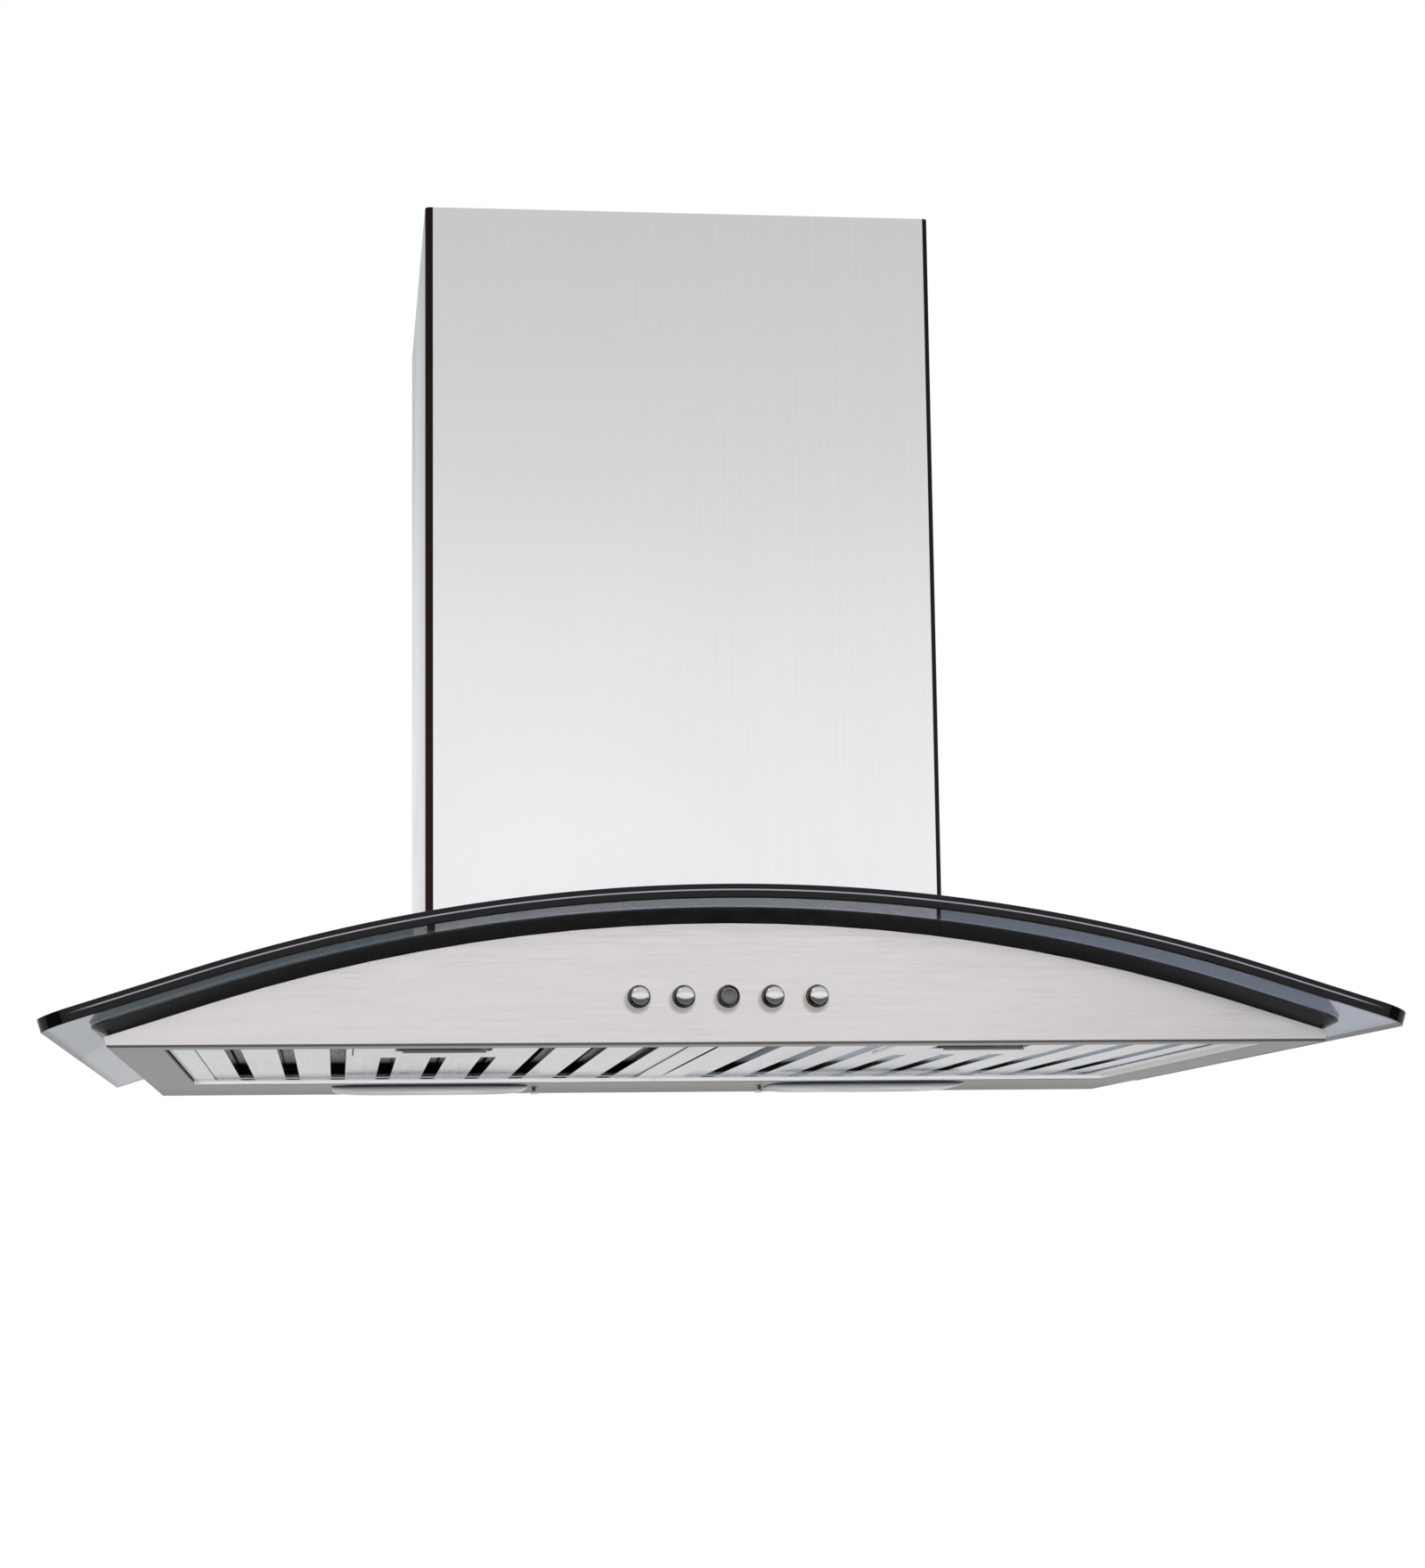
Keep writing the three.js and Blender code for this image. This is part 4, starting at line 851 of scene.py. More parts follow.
@dataclass(frozen=True)
class SmokedGlass:
    """Toughened glass with a grey tint and a dark polished edge, painted shade that deepens the tint towards
    the right, and a painted highlight: a glowing line along the middle of the front rim.
    """

    name: str
    body: Colour
    edge: Colour
    half: float
    front: float
    back: float
    corner: float
    arch: Arch
    # painted shade: the deeper tint at the right end
    body_shaded_right: Colour = (0.62, 0.64, 0.72)
    # painted highlight colour of the glowing rim line
    line: Colour = (0.34, 0.31, 0.4)
    rim: float = 0.0034
    line_depth: float = 0.0026
    line_half: float = 0.0003

    def _top_height(self, nodes: Nodes, x: bpy.types.NodeSocket) -> bpy.types.NodeSocket:
        """The height of the glass's top by the arch's formula, as shader steps.

        Args:
            nodes: the material's node layer.
            x: the place across.

        Returns:
            The height.
        """
        across = nodes.math("ABSOLUTE", x)
        inside = nodes.math("MINIMUM", across, self.arch.half_arc)
        square = nodes.math("SUBTRACT", self.arch.radius**2, nodes.math("MULTIPLY", inside, inside))
        curve = nodes.math("ADD", nodes.math("SQRT", square), self.arch.top - self.arch.radius)
        past = nodes.math("MAXIMUM", nodes.math("SUBTRACT", across, self.arch.half_arc), 0.0)
        slope = math.tan(math.asin(self.arch.half_arc / self.arch.radius))
        return nodes.math("SUBTRACT", curve, nodes.math("MULTIPLY", past, slope))

    def material(self, effects: SharedEffects) -> bpy.types.Material:
        """Builds the finish.

        Args:
            effects: the shared node groups.

        Returns:
            The material.
        """
        material, nodes, shader = start_material(self.name)
        shader.inputs["Transmission Weight"].default_value = 1.0
        shader.inputs["IOR"].default_value = 1.36
        x, y, z = nodes.axes(nodes.place())
        across = nodes.math("SUBTRACT", nodes.math("ABSOLUTE", x), self.half - self.corner)
        ahead = nodes.math("SUBTRACT", self.front + self.corner, y)
        corner_x = nodes.math("MAXIMUM", across, 0.0)
        corner_y = nodes.math("MAXIMUM", ahead, 0.0)
        reach = nodes.length(corner_x, corner_y)
        rim = nodes.rise(reach, self.corner - self.rim, self.corner - self.rim * 0.75)
        behind = nodes.rise(y, self.back - self.rim, self.back - self.rim * 0.75)
        edge = nodes.math("MAXIMUM", rim, behind)
        under = nodes.math("SUBTRACT", self._top_height(nodes, x), z)
        off_line = nodes.math("ABSOLUTE", nodes.math("SUBTRACT", under, self.line_depth))
        line = nodes.rise(off_line, self.line_half * 0.7, self.line_half * 1.3, 1.0, 0.0)
        smears = nodes.group(effects.clouds, Vector=nodes.place(), Scale=5.0)
        # painted shade: the tint deepens from left to right
        left = nodes.rise(x, -self.half, self.half)
        body = nodes.blend(left, rgba(self.body), rgba(self.body_shaded_right))
        nodes.feed(shader.inputs["Base Color"], nodes.blend(edge, body, rgba(self.edge)))
        # painted highlight: an emissive line along the middle of the front rim
        lit = nodes.math("MULTIPLY", nodes.math("MULTIPLY", line, edge), nodes.rise(ahead, -self.corner, 0.0))
        inner = nodes.rise(nodes.math("ABSOLUTE", x), self.half - 0.03, self.half - 0.012, 1.0, 0.0)
        lit = nodes.math("MULTIPLY", lit, inner)
        nodes.feed(shader.inputs["Emission Color"], nodes.blend(lit, (0, 0, 0, 1), rgba(self.line)))
        shader.inputs["Emission Strength"].default_value = 1.0
        nodes.feed(shader.inputs["Roughness"], nodes.rise(smears.outputs[0], 0.0, 1.0, 0.0, 0.012))
        return material


@dataclass(frozen=True)
class Moulding:
    """Plastic, rubber or paint with a fine moulded texture."""

    name: str
    colour: Colour
    roughness: tuple[float, float]
    texture: float = 900.0
    depth: float = 4e-6
    metallic: float = 0.0
    coat: float = 0.0

    def material(self, effects: SharedEffects) -> bpy.types.Material:
        """Builds the finish.

        Args:
            effects: the shared node groups.

        Returns:
            The material.
        """
        material, nodes, shader = start_material(self.name)
        shader.inputs["Metallic"].default_value = self.metallic
        shader.inputs["Coat Weight"].default_value = self.coat
        marks = nodes.group(effects.clouds, Vector=nodes.place(), Scale=11.0)
        pores = nodes.group(effects.speckle, Vector=nodes.place(), Scale=self.texture)
        worn = tuple(min(1.0, c * 1.25 + 0.004) for c in self.colour)
        mask = nodes.math("MULTIPLY", marks.outputs[0], 0.6)
        nodes.feed(shader.inputs["Base Color"], nodes.blend(mask, rgba(self.colour), rgba(worn)))
        low, high = self.roughness
        nodes.feed(shader.inputs["Roughness"], nodes.rise(marks.outputs[0], 0.0, 1.0, low, high))
        add_bump(nodes, shader, pores.outputs[0], self.depth)
        return material


@dataclass(frozen=True)
class Galvanised:
    """Zinc-coated sheet: flat spangles of slightly different greys."""

    name: str
    light: Colour = (0.52, 0.54, 0.56)
    dark: Colour = (0.34, 0.36, 0.38)
    roughness: tuple[float, float] = (0.34, 0.52)

    def material(self, effects: SharedEffects) -> bpy.types.Material:
        """Builds the finish.

        Args:
            effects: the shared node groups.

        Returns:
            The material.
        """
        material, nodes, shader = start_material(self.name)
        shader.inputs["Metallic"].default_value = 1.0
        spangle = nodes.group(effects.speckle, Vector=nodes.place(), Scale=110.0)
        marks = nodes.group(effects.clouds, Vector=nodes.place(), Scale=6.0)
        mask = nodes.math("MULTIPLY", spangle.outputs[0], nodes.rise(marks.outputs[0], 0.0, 1.0, 0.6, 1.0))
        nodes.feed(shader.inputs["Base Color"], nodes.blend(mask, rgba(self.dark), rgba(self.light)))
        low, high = self.roughness
        nodes.feed(shader.inputs["Roughness"], nodes.rise(spangle.outputs[0], 0.0, 1.0, high, low))
        return material


@dataclass(frozen=True)
class ClearPlastic:
    """Translucent plastic or thin glass, deeper in colour along one level line."""

    name: str
    colour: Colour
    line: Colour
    line_height: float
    line_half: float = 0.0004
    roughness: float = 0.12
    ior: float = 1.45

    def material(self, effects: SharedEffects) -> bpy.types.Material:
        """Builds the finish.

        Args:
            effects: the shared node groups.

        Returns:
            The material.
        """
        material, nodes, shader = start_material(self.name)
        shader.inputs["Transmission Weight"].default_value = 0.75
        shader.inputs["IOR"].default_value = self.ior
        z = nodes.axes(nodes.place())[2]
        away = nodes.math("ABSOLUTE", nodes.math("SUBTRACT", z, self.line_height))
        line = nodes.rise(away, self.line_half * 0.5, self.line_half * 1.5, 1.0, 0.0)
        marks = nodes.group(effects.clouds, Vector=nodes.place(), Scale=30.0)
        cloudy = nodes.math("MULTIPLY", marks.outputs[0], 0.25)
        base = nodes.blend(cloudy, rgba(self.colour), (0.93, 0.95, 1.0, 1.0))
        nodes.feed(shader.inputs["Base Color"], nodes.blend(line, base, rgba(self.line)))
        spread = nodes.rise(marks.outputs[0], 0.0, 1.0, self.roughness * 0.7, self.roughness * 1.3)
        nodes.feed(shader.inputs["Roughness"], spread)
        return material


class Palette:
    """Every finish of the hood, by the record's material slots."""

    by_node = {
        "upper_baffles_left": "baffle_cap",
        "upper_baffles_right": "baffle_cap",
        "filter_frame_left": "filter_frame",
        "filter_frame_right": "filter_frame",
        "underside_pan": "pan_steel",
    }

    def __init__(self, effects: SharedEffects) -> None:
        """Builds all the finishes.

        Args:
            effects: the shared node groups.
        """
        glass_low, glass_high = node_box("glass_canopy")
        panel_low, _ = node_box("front_panel")
        lens_low, _ = node_box("lamp_lens_left")
        button_low, button_high = node_box("push_button_1")
        finishes = {
            "panel_steel": BrushedMetal(
                "panel_steel",
                light=(0.9, 0.877, 0.853),
                dark=(0.835, 0.81, 0.785),
                roughness=(0.2, 0.28),
                stretch=(0.03, 1.0, 1.0),
                fineness=1500.0,
                depth=8e-7,
                controls=(0.02, 0.05, float(button_low[2] + button_high[2]) / 2),
                painted_hem_shade=(float(panel_low[2]), 0.0013, 0.85),
                painted_shade_across=(0.05, 0.3, 0.3),
            ),
            "body_steel": BrushedMetal("body_steel", (0.42, 0.405, 0.39), (0.34, 0.33, 0.315), (0.34, 0.46)),
            "polished_aluminium": BrushedMetal(
                "polished_aluminium",
                light=(0.82, 0.84, 0.86),
                dark=(0.72, 0.74, 0.765),
                roughness=(0.07, 0.14),
                stretch=(1.0, 0.02, 1.0),
                depth=4e-7,
            ),
            "baffle_cap": BaffleCap("baffle_cap"),
            "filter_frame": FilterFrame("filter_frame"),
            "pan_steel": PanSteel("pan_steel"),
            "chimney_steel": MirrorSteel("chimney_steel", (0.93, 0.93, 0.935), (0.05, 0.1)),
            "smoked_glass": SmokedGlass(
                "smoked_glass",
                body=(0.72, 0.77, 0.82),
                edge=(0.001, 0.001, 0.002),
                half=float(glass_high[0]),
                front=float(glass_low[1]),
                back=float(glass_high[1]),
                corner=0.014,
                arch=Arch(top=float(glass_high[2])),
            ),
            "black_trim": Moulding("black_trim", (0.006, 0.006, 0.007), (0.22, 0.34)),
            "chrome": BrushedMetal(
                "chrome", (0.86, 0.86, 0.87), (0.78, 0.78, 0.79), (0.03, 0.07), (1.0, 1.0, 1.0), 60.0, 1e-7
            ),
            # painted shade: a darker copy of chrome for the bezel, standing for the shade and dark
            # reflections round the buttons
            "chrome_painted_shade": BrushedMetal(
                "chrome_painted_shade", (0.16, 0.155, 0.15), (0.1, 0.1, 0.1), (0.08, 0.14), (1.0, 1.0, 1.0), 60.0, 1e-7
            ),
            "smoked_lens": Moulding("smoked_lens", (0.17, 0.16, 0.15), (0.25, 0.4), coat=0.5, depth=1e-6),
            "blue_lens": ClearPlastic(
                "blue_lens", (0.5, 0.53, 0.6), (0.1, 0.12, 0.34), float(lens_low[2]) + 0.0019, 0.0003
            ),
            "clear_bulb": ClearPlastic(
                "clear_bulb", (0.96, 0.96, 0.94), (0.9, 0.9, 0.88), 0.0, roughness=0.05
            ),
            "galvanised": Galvanised("galvanised"),
            "black_plastic": Moulding("black_plastic", (0.012, 0.012, 0.013), (0.4, 0.6)),
            "white_plastic": Moulding("white_plastic", (0.74, 0.72, 0.67), (0.35, 0.5)),
            "rubber": Moulding("rubber", (0.01, 0.01, 0.01), (0.7, 0.9)),
            "spring_steel": BrushedMetal(
                "spring_steel", (0.6, 0.6, 0.6), (0.42, 0.42, 0.43), (0.2, 0.3), (1.0, 1.0, 1.0), 800.0
            ),
            "motor_paint": Moulding("motor_paint", (0.04, 0.044, 0.05), (0.3, 0.5), metallic=0.4),
        }
        self.materials = {slot: finish.material(effects) for slot, finish in finishes.items()}

    def dress(self, item: bpy.types.Object, slot: str) -> None:
        """Gives a piece the finish of one slot.

        Args:
            item: the piece.
            slot: the record's material slot.
        """
        item.data.materials.clear()
        item.data.materials.append(self.materials[slot])

    def dress_frame(self, frame: dict) -> None:
        """Gives every CAD node the finish of its own slot.
        """
        for entry in frame["record"]["subparts"]:
            item = frame["nodes"][entry["node"]]
            slot = self.by_node.get(entry["node"], entry["material_slot"])
            if not item.material_slots:
                item.data.materials.append(None)
            for place in item.material_slots:
                place.material = self.materials[slot]


# ---- Sub-assemblies ------------------------------------------------------------------------------


@dataclass
class Canopy:
    """The arched glass and the black cove trim under it."""

    arch: Arch
    thickness: float = 0.006
    corner: float = 0.014
    notch_half: float = 0.107
    notch_front: float = -0.265
    trim_height: float = 0.007
    trim_reach: float = 0.0073
    trim_lip: float = 0.0013
    trim_inset: float = 0.003
    trim_corner: float = 0.004

    def glass(self) -> bpy.types.Object:
        """The glass sheet: a grid over the plan, lifted to the arch, with the chimney's notch left out.

        In the two front corners the first row follows y = front + r - sqrt(r^2 - (|x| - half + r)^2).

        Returns:
            The glass, with its thickness and its rounded edge.
        """
        low, high = node_box("glass_canopy")
        half, front, back = float(high[0]), float(low[1]), float(high[1])
        ease = np.sin(np.linspace(0.0, math.pi / 2, 8))
        right = np.concatenate(
            [
                np.linspace(0.0, self.notch_half, 25),
                np.linspace(self.notch_half, half - self.corner, 30)[1:],
                half - self.corner + self.corner * ease[1:],
            ]
        )
        x = np.concatenate([-right[::-1], right[1:]])
        near = np.linspace(0.0, 1.0, 13)
        past = np.maximum(np.abs(x) - (half - self.corner), 0.0)
        start = front + self.corner - np.sqrt(np.maximum(self.corner**2 - past**2, 0.0))
        ahead = start[None, :] + near[:, None] * (self.notch_front - start[None, :])
        behind = np.linspace(self.notch_front, back, 10)[1:, None] + 0.0 * x[None, :]
        y = np.vstack([ahead, behind])
        grid_x = np.broadcast_to(x, y.shape)
        points = np.stack([grid_x, y, self.arch.height(grid_x)], -1)
        rows, columns = y.shape
        a, b = np.meshgrid(np.arange(rows - 1), np.arange(columns - 1), indexing="ij")
        middle = (grid_x[a, b] + grid_x[a, b + 1]) / 2
        kept = ~((a >= len(near) - 1) & (np.abs(middle) < self.notch_half))
        first = (a * columns + b)[kept]
        faces = np.stack([first, first + 1, first + columns + 1, first + columns], -1)
        item = tidy(mesh_object("arched_glass", points.reshape(-1, 3), faces), recalculate=False)
        wall = item.modifiers.new("thickness", "SOLIDIFY")
        wall.thickness, wall.offset, wall.use_even_offset = self.thickness, -1.0, True
        edge = item.modifiers.new("polished_edge", "BEVEL")
        edge.width, edge.segments, edge.limit_method = 0.0026, 5, "ANGLE"
        edge.angle_limit, edge.harden_normals = math.radians(50), True
        return stand_for(item, "hood", "smoked_glass", "glass_canopy")

    def trim(self) -> bpy.types.Object:
        """The trim: a cove section carried round the body's front and sides.

        The section is (out, drop) pairs; the path gives a point and its outward direction, and a section
        point sits at path + out * direction, at the arch's height for that drop.

        Returns:
            The trim.
        """
        panel_low, panel_high = node_box("front_panel")
        _, glass_high = node_box("glass_canopy")
        half, front, back = 0.2725, float(panel_low[1]), float(glass_high[1])
        gap = 0.0003
        top, bottom = self.thickness + gap, self.thickness + self.trim_height - gap
        turn = np.linspace(0.0, math.pi / 2, 14)
        cove_out = self.trim_reach - 0.001 - (self.trim_reach - 0.0012) * np.sin(turn)
        cove_drop = bottom - (bottom - top - self.trim_lip) * np.cos(turn)
        section = np.vstack(
            [
                [(-self.trim_inset, top), (self.trim_reach - 0.0003, top), (self.trim_reach, top + 0.0003)],
                [
                    (self.trim_reach, top + self.trim_lip - 0.0003),
                    (self.trim_reach - 0.0004, top + self.trim_lip),
                ],
                np.stack([cove_out, cove_drop], -1)[::-1],
                [(-self.trim_inset, bottom)],
            ]
        )
        reach = half - self.trim_corner
        bend = np.linspace(0.0, math.pi / 2, 9)
        straight = np.linspace(-reach, reach, 161)[1:-1]
        side = np.linspace(back, front + self.trim_corner, 12)[:-1]
        left_x = -reach - self.trim_corner * np.cos(bend)
        bend_y = front + self.trim_corner - self.trim_corner * np.sin(bend)
        path_x = np.concatenate([-half + 0 * side, left_x, straight, -left_x[::-1], half + 0 * side])
        path_y = np.concatenate([side, bend_y, front + 0 * straight, bend_y[::-1], side[::-1]])
        out_x = np.concatenate([-1 + 0 * side, -np.cos(bend), 0 * straight, np.cos(bend)[::-1], 1 + 0 * side])
        out_y = np.concatenate([0 * side, -np.sin(bend), -1 + 0 * straight, -np.sin(bend)[::-1], 0 * side])
        out, drop = section.T[:, None, :]
        x = path_x[:, None] + out * out_x[:, None]
        y = path_y[:, None] + out * out_y[:, None]
        points = np.stack([x, y, self.arch.height(x, drop)], -1)
        item = surface("cove_trim", points, around=True)
        cap_ends(item, len(section))
        tidy(item, 50.0)
        return stand_for(item, "hood", "black_trim", "glass_trim")


def cap_ends(item: bpy.types.Object, ring: int) -> None:
    """Closes the two open ends of a loft with one flat face each.

    Args:
        item: the loft, whose rings follow each other in its mesh.
        ring: vertices in one ring.
    """
    work = bmesh.new()
    work.from_mesh(item.data)
    work.verts.ensure_lookup_table()
    work.faces.new(work.verts[:ring])
    work.faces.new(work.verts[-ring:])
    work.to_mesh(item.data)
    work.free()


@dataclass
class Chimney:
    """The two folded covers, one telescoping inside the other."""

    arch: Arch
    sheet: float = 0.001
    fold: float = 0.003
    returns: float = 0.014

    def _outline(self, low: np.ndarray, high: np.ndarray, fold: float) -> np.ndarray:
        """The folded sheet in plan, from the left return round the front to the right one.

        Args:
            low: the cover's lowest corner.
            high: its highest corner.
            fold: outer radius of the front folds.

        Returns:
            Plan points of the outer face.
        """
        x0, y0, x1, y1 = low[0], low[1], high[0], high[1]
        corners = [(x0 + self.returns, y1), (x0, y1), (x0, y0), (x1, y0), (x1, y1), (x1 - self.returns, y1)]
        return rounded(corners, fold, 8)

    def cover(self, name: str, node: str, body: str, on_glass: bool) -> bpy.types.Object:
        """One cover: its plan outline carried from its foot to its top.

        A point at share t of the height lies at (x, y, foot(x) + t * (top - foot(x))).

        Args:
            name: the new object's name.
            node: the CAD node it replaces.
            body: the body it rides on.
            on_glass: the foot follows the glass instead of being level.

        Returns:
            The cover.
        """
        low, high = node_box(node)
        line = self._outline(low, high, self.fold)
        seams = np.linspace(low[0], high[0], 41)[1:-1]
        front = np.stack([seams, low[1] + 0 * seams], -1)
        cut = int(np.argmax(line[:, 0] > 0.0))
        line = np.vstack([line[:cut], front[np.abs(seams) < high[0] - 2 * self.fold], line[cut:]])
        foot = self.arch.height(line[:, 0]) + 0.0004 if on_glass else low[2] + 0 * line[:, 0]
        share = np.linspace(0.0, 1.0, 12)[:, None]
        z = foot[None, :] + share * (high[2] - foot[None, :])
        xy = np.broadcast_to(line[None], (len(share), *line.shape))
        item = surface(name, np.concatenate([xy, z[:, :, None]], -1))
        tidy(item, 60.0, recalculate=False)
        wall = item.modifiers.new("thickness", "SOLIDIFY")
        wall.thickness, wall.offset = self.sheet, -1.0
        edge = item.modifiers.new("edge", "BEVEL")
        edge.width, edge.segments, edge.limit_method, edge.angle_limit = 0.0002, 2, "ANGLE", math.radians(60)
        edge.harden_normals = True
        return stand_for(item, body, "chimney_steel", node)


@dataclass
class Controls:
    """The bezel's collars, four push buttons and the indicator."""

    pitch: float = 0.02
    count: int = 5
    lamp_place: int = 2
    collar: float = 0.0049
    bore: float = 0.0043
    proud: float = 0.0022
    cap: float = 0.004
    dome: float = 0.007
    stem: float = 0.0016

    def _centre(self, place: int, front: float, height: float) -> tuple[float, float, float]:
        """Where a control's axis meets the panel's front face."""
        return ((place - (self.count - 1) / 2) * self.pitch, front, height)

    def build(self) -> list[tuple[bpy.types.Object, str]]:
        """Makes the turned pieces.

        Returns:
            The new pieces, each with its slot.
        """
        low, high = node_box("push_button_1")
        panel_low, _ = node_box("front_panel")
        front, height = float(panel_low[1]), float(low[2] + high[2]) / 2
        made = []
        rings = []
        number = 0
        for place in range(self.count):
            centre = self._centre(place, front, height)
            rings.append(self._collar(place, centre))
            if place == self.lamp_place:
                lens = turned("indicator", self._lens_profile(), centre, Axis.FRONT)
                made.append((stand_for(lens, "hood", "smoked_lens", "indicator_lens"), "smoked_lens"))
                continue
            number += 1
            button = turned(f"button_cap_{number}", self._button_profile(), centre, Axis.FRONT)
            made.append((stand_for(button, f"button_{number}", "chrome", f"push_button_{number}"), "chrome"))
        strip = self._strip(front, height)
        bezel = join_pieces("bezel", [strip, *rings])
        # painted shade: the bezel is dressed in the darker copy of chrome
        made.append((stand_for(bezel, "hood", "chrome", "control_bezel"), "chrome_painted_shade"))
        return made

    def _collar(self, place: int, centre: Sequence[float]) -> bpy.types.Object:
        """One collar: a tube with a rounded lip.

        Args:
            place: its number along the row.
            centre: where its axis meets the panel.

        Returns:
            The collar.
        """
        lip, back = self.proud, -0.003
        edge = (self.collar - self.bore) / 2
        turn = np.linspace(0.0, math.pi, 9)
        crown = [(self.bore + edge - edge * math.cos(t), lip - edge + edge * math.sin(t)) for t in turn]
        profile = [(self.bore, back), *crown, (self.collar, back), (self.bore, back)]
        return turned(f"collar_{place}", profile, centre, Axis.FRONT, 48)

    def _strip(self, front: float, height: float) -> bpy.types.Object:
        """The strip behind the panel that carries the collars.

        Args:
            front: the panel's front face.
            height: the controls' height.

        Returns:
            A flat band, as a closed surface.
        """
        y0, y1 = front + 0.0016, front + 0.003
        section = np.array([(y0, -0.009), (y0, 0.009), (y1, 0.009), (y1, -0.009)])
        x = np.linspace(-0.052, 0.052, 14)
        points = np.zeros((len(x), 4, 3))
        points[:, :, 0] = x[:, None]
        points[:, :, 1] = section[None, :, 0]
        points[:, :, 2] = height + section[None, :, 1]
        item = surface("strip", points, around=True)
        cap_ends(item, 4)
        return tidy(item)

    def _button_profile(self) -> list[tuple[float, float]]:
        """A nearly flat cap on a stem: its face follows radius * cos(t), rise * sin(t)^0.45.

        Returns:
            Radius and distance out of the panel.
        """
        turn = np.linspace(math.pi / 2, 0.0, 16)
        rise = 0.0016
        dome = [(self.cap * math.cos(t), self.dome - rise + rise * math.sin(t) ** 0.45) for t in turn]
        return [*dome, (self.cap, -0.0012), (self.stem, -0.0012), (self.stem, -0.014), (0.0, -0.014)]

    def _lens_profile(self) -> list[tuple[float, float]]:
        """The indicator: a shallow dished cap with a raised ring.

        Returns:
            Radius and distance out of the panel.
        """
        turn = np.linspace(0.0, 1.0, 9)
        dish = [(0.0026 * t, 0.0024 + 0.0003 * t * t) for t in turn]
        ring = [(0.0028, 0.003), (0.0032, 0.003), (0.0036, 0.0028)]
        side = [(0.00392, 0.0022), (0.00392, -0.005), (0.0, -0.005)]
        return [*dish, *ring, *side]


def join_pieces(name: str, pieces: Sequence[bpy.types.Object]) -> bpy.types.Object:
    """Puts several closed shells into one object.

    Args:
        name: the joined object's name.
        pieces: the objects to join.

    Returns:
        The joined object.
    """
    with bpy.context.temp_override(active_object=pieces[0], selected_editable_objects=list(pieces)):
        bpy.ops.object.join()
    pieces[0].name = name
    return pieces[0]


@dataclass
class LampLens:
    """A shallow pressed lens: a rounded tray whose rim curls up to the underside."""

    sign: int
    exponent: float = 5.0
    wall: float = 0.0015

    def build(self) -> bpy.types.Object:
        """The tray as a surface of angle and share.

        Across the tray the outline is the superellipse |x/a|^n + |y/b|^n = 1, scaled by the share s, and
        the depth is d * (1 - s^6)^(1/3), flat in the middle and rounded at the rim.

        Returns:
            The lens with its thickness.
        """
        side = "left" if self.sign < 0 else "right"
        node = f"lamp_lens_{side}"
        low, high = node_box(node)
        a, b = 0.054, float(high[1] - low[1]) / 2
        centre = np.array([self.sign * 0.1218, (low[1] + high[1]) / 2])
        top, depth = float(low[2]) + 0.0025, 0.0025
        angle = np.linspace(0.0, 2 * math.pi, 128, endpoint=False)
        power = 2.0 / self.exponent
        unit_x = np.sign(np.cos(angle)) * np.abs(np.cos(angle)) ** power
        unit_y = np.sign(np.sin(angle)) * np.abs(np.sin(angle)) ** power
        share = np.sin(np.linspace(0.0, math.pi / 2, 24))[:, None]
        x = centre[0] + a * share * unit_x
        y = centre[1] + b * share * unit_y
        z = top - depth * np.maximum(1.0 - share**6, 0.0) ** (1 / 3) + 0.0 * x
        item = surface(f"lens_{side}", np.stack([x, y, z], -1), around=True)
        tidy(item, 60.0, recalculate=False)
        wall = item.modifiers.new("thickness", "SOLIDIFY")
        wall.thickness, wall.offset = self.wall, -1.0
        return stand_for(item, f"lens_{side}", "blue_lens", node)


@dataclass(frozen=True)
class CoilSpring:
    """A compression spring along Y."""

    node: str
    body: str
    joint: str
    travel: float
    turns: int
    wire: float

    def build(self) -> bpy.types.Object:
        """The coil as a tube of angle a round the wire and share t along it.

        With the coil radius r, wire radius w and angle q = 2 pi * turns * t, the point is
        ((r + w cos a) cos q, length * t + w sin a, (r + w cos a) sin q) from the coil's near end.

        Returns:
            The spring, which rides on its body.
        """
        low, high = node_box(self.node)
        centre = (low + high) / 2
        radius = float(high[0] - low[0]) / 2 - self.wire
        share = np.linspace(0.0, 1.0, self.turns * 24 + 1)[:, None]
        around = np.linspace(0.0, 2 * math.pi, 10, endpoint=False)[None, :]
        turn = 2 * math.pi * self.turns * share
        reach = radius + self.wire * np.cos(around)
        length = float(high[1] - low[1]) - 2 * self.wire
        y = low[1] + self.wire + length * share + self.wire * np.sin(around)
        points = np.stack([centre[0] + reach * np.cos(turn), y, centre[2] + reach * np.sin(turn)], -1)
        item = surface(f"coil_{self.node}", points, around=True)
        cap_ends(item, 10)
        tidy(item, 60.0)
        stand_for(item, self.body, "spring_steel", self.node)
        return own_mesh(item)


def springs() -> list[CoilSpring]:
    """Every spring: one behind each button and one behind each latch."""
    buttons = [
        CoilSpring(f"button_spring_{n}", "hood", f"button_{n}_press", 0.0025, 4, 0.00034) for n in range(1, 5)
    ]
    latches = [
        CoilSpring(f"latch_spring_{side}", f"filter_{side}", f"latch_{side}_slide", 0.008, 6, 0.00038)
        for side in ("left", "right")
    ]
    return buttons + latches


# ---- Studio --------------------------------------------------------------------------------------


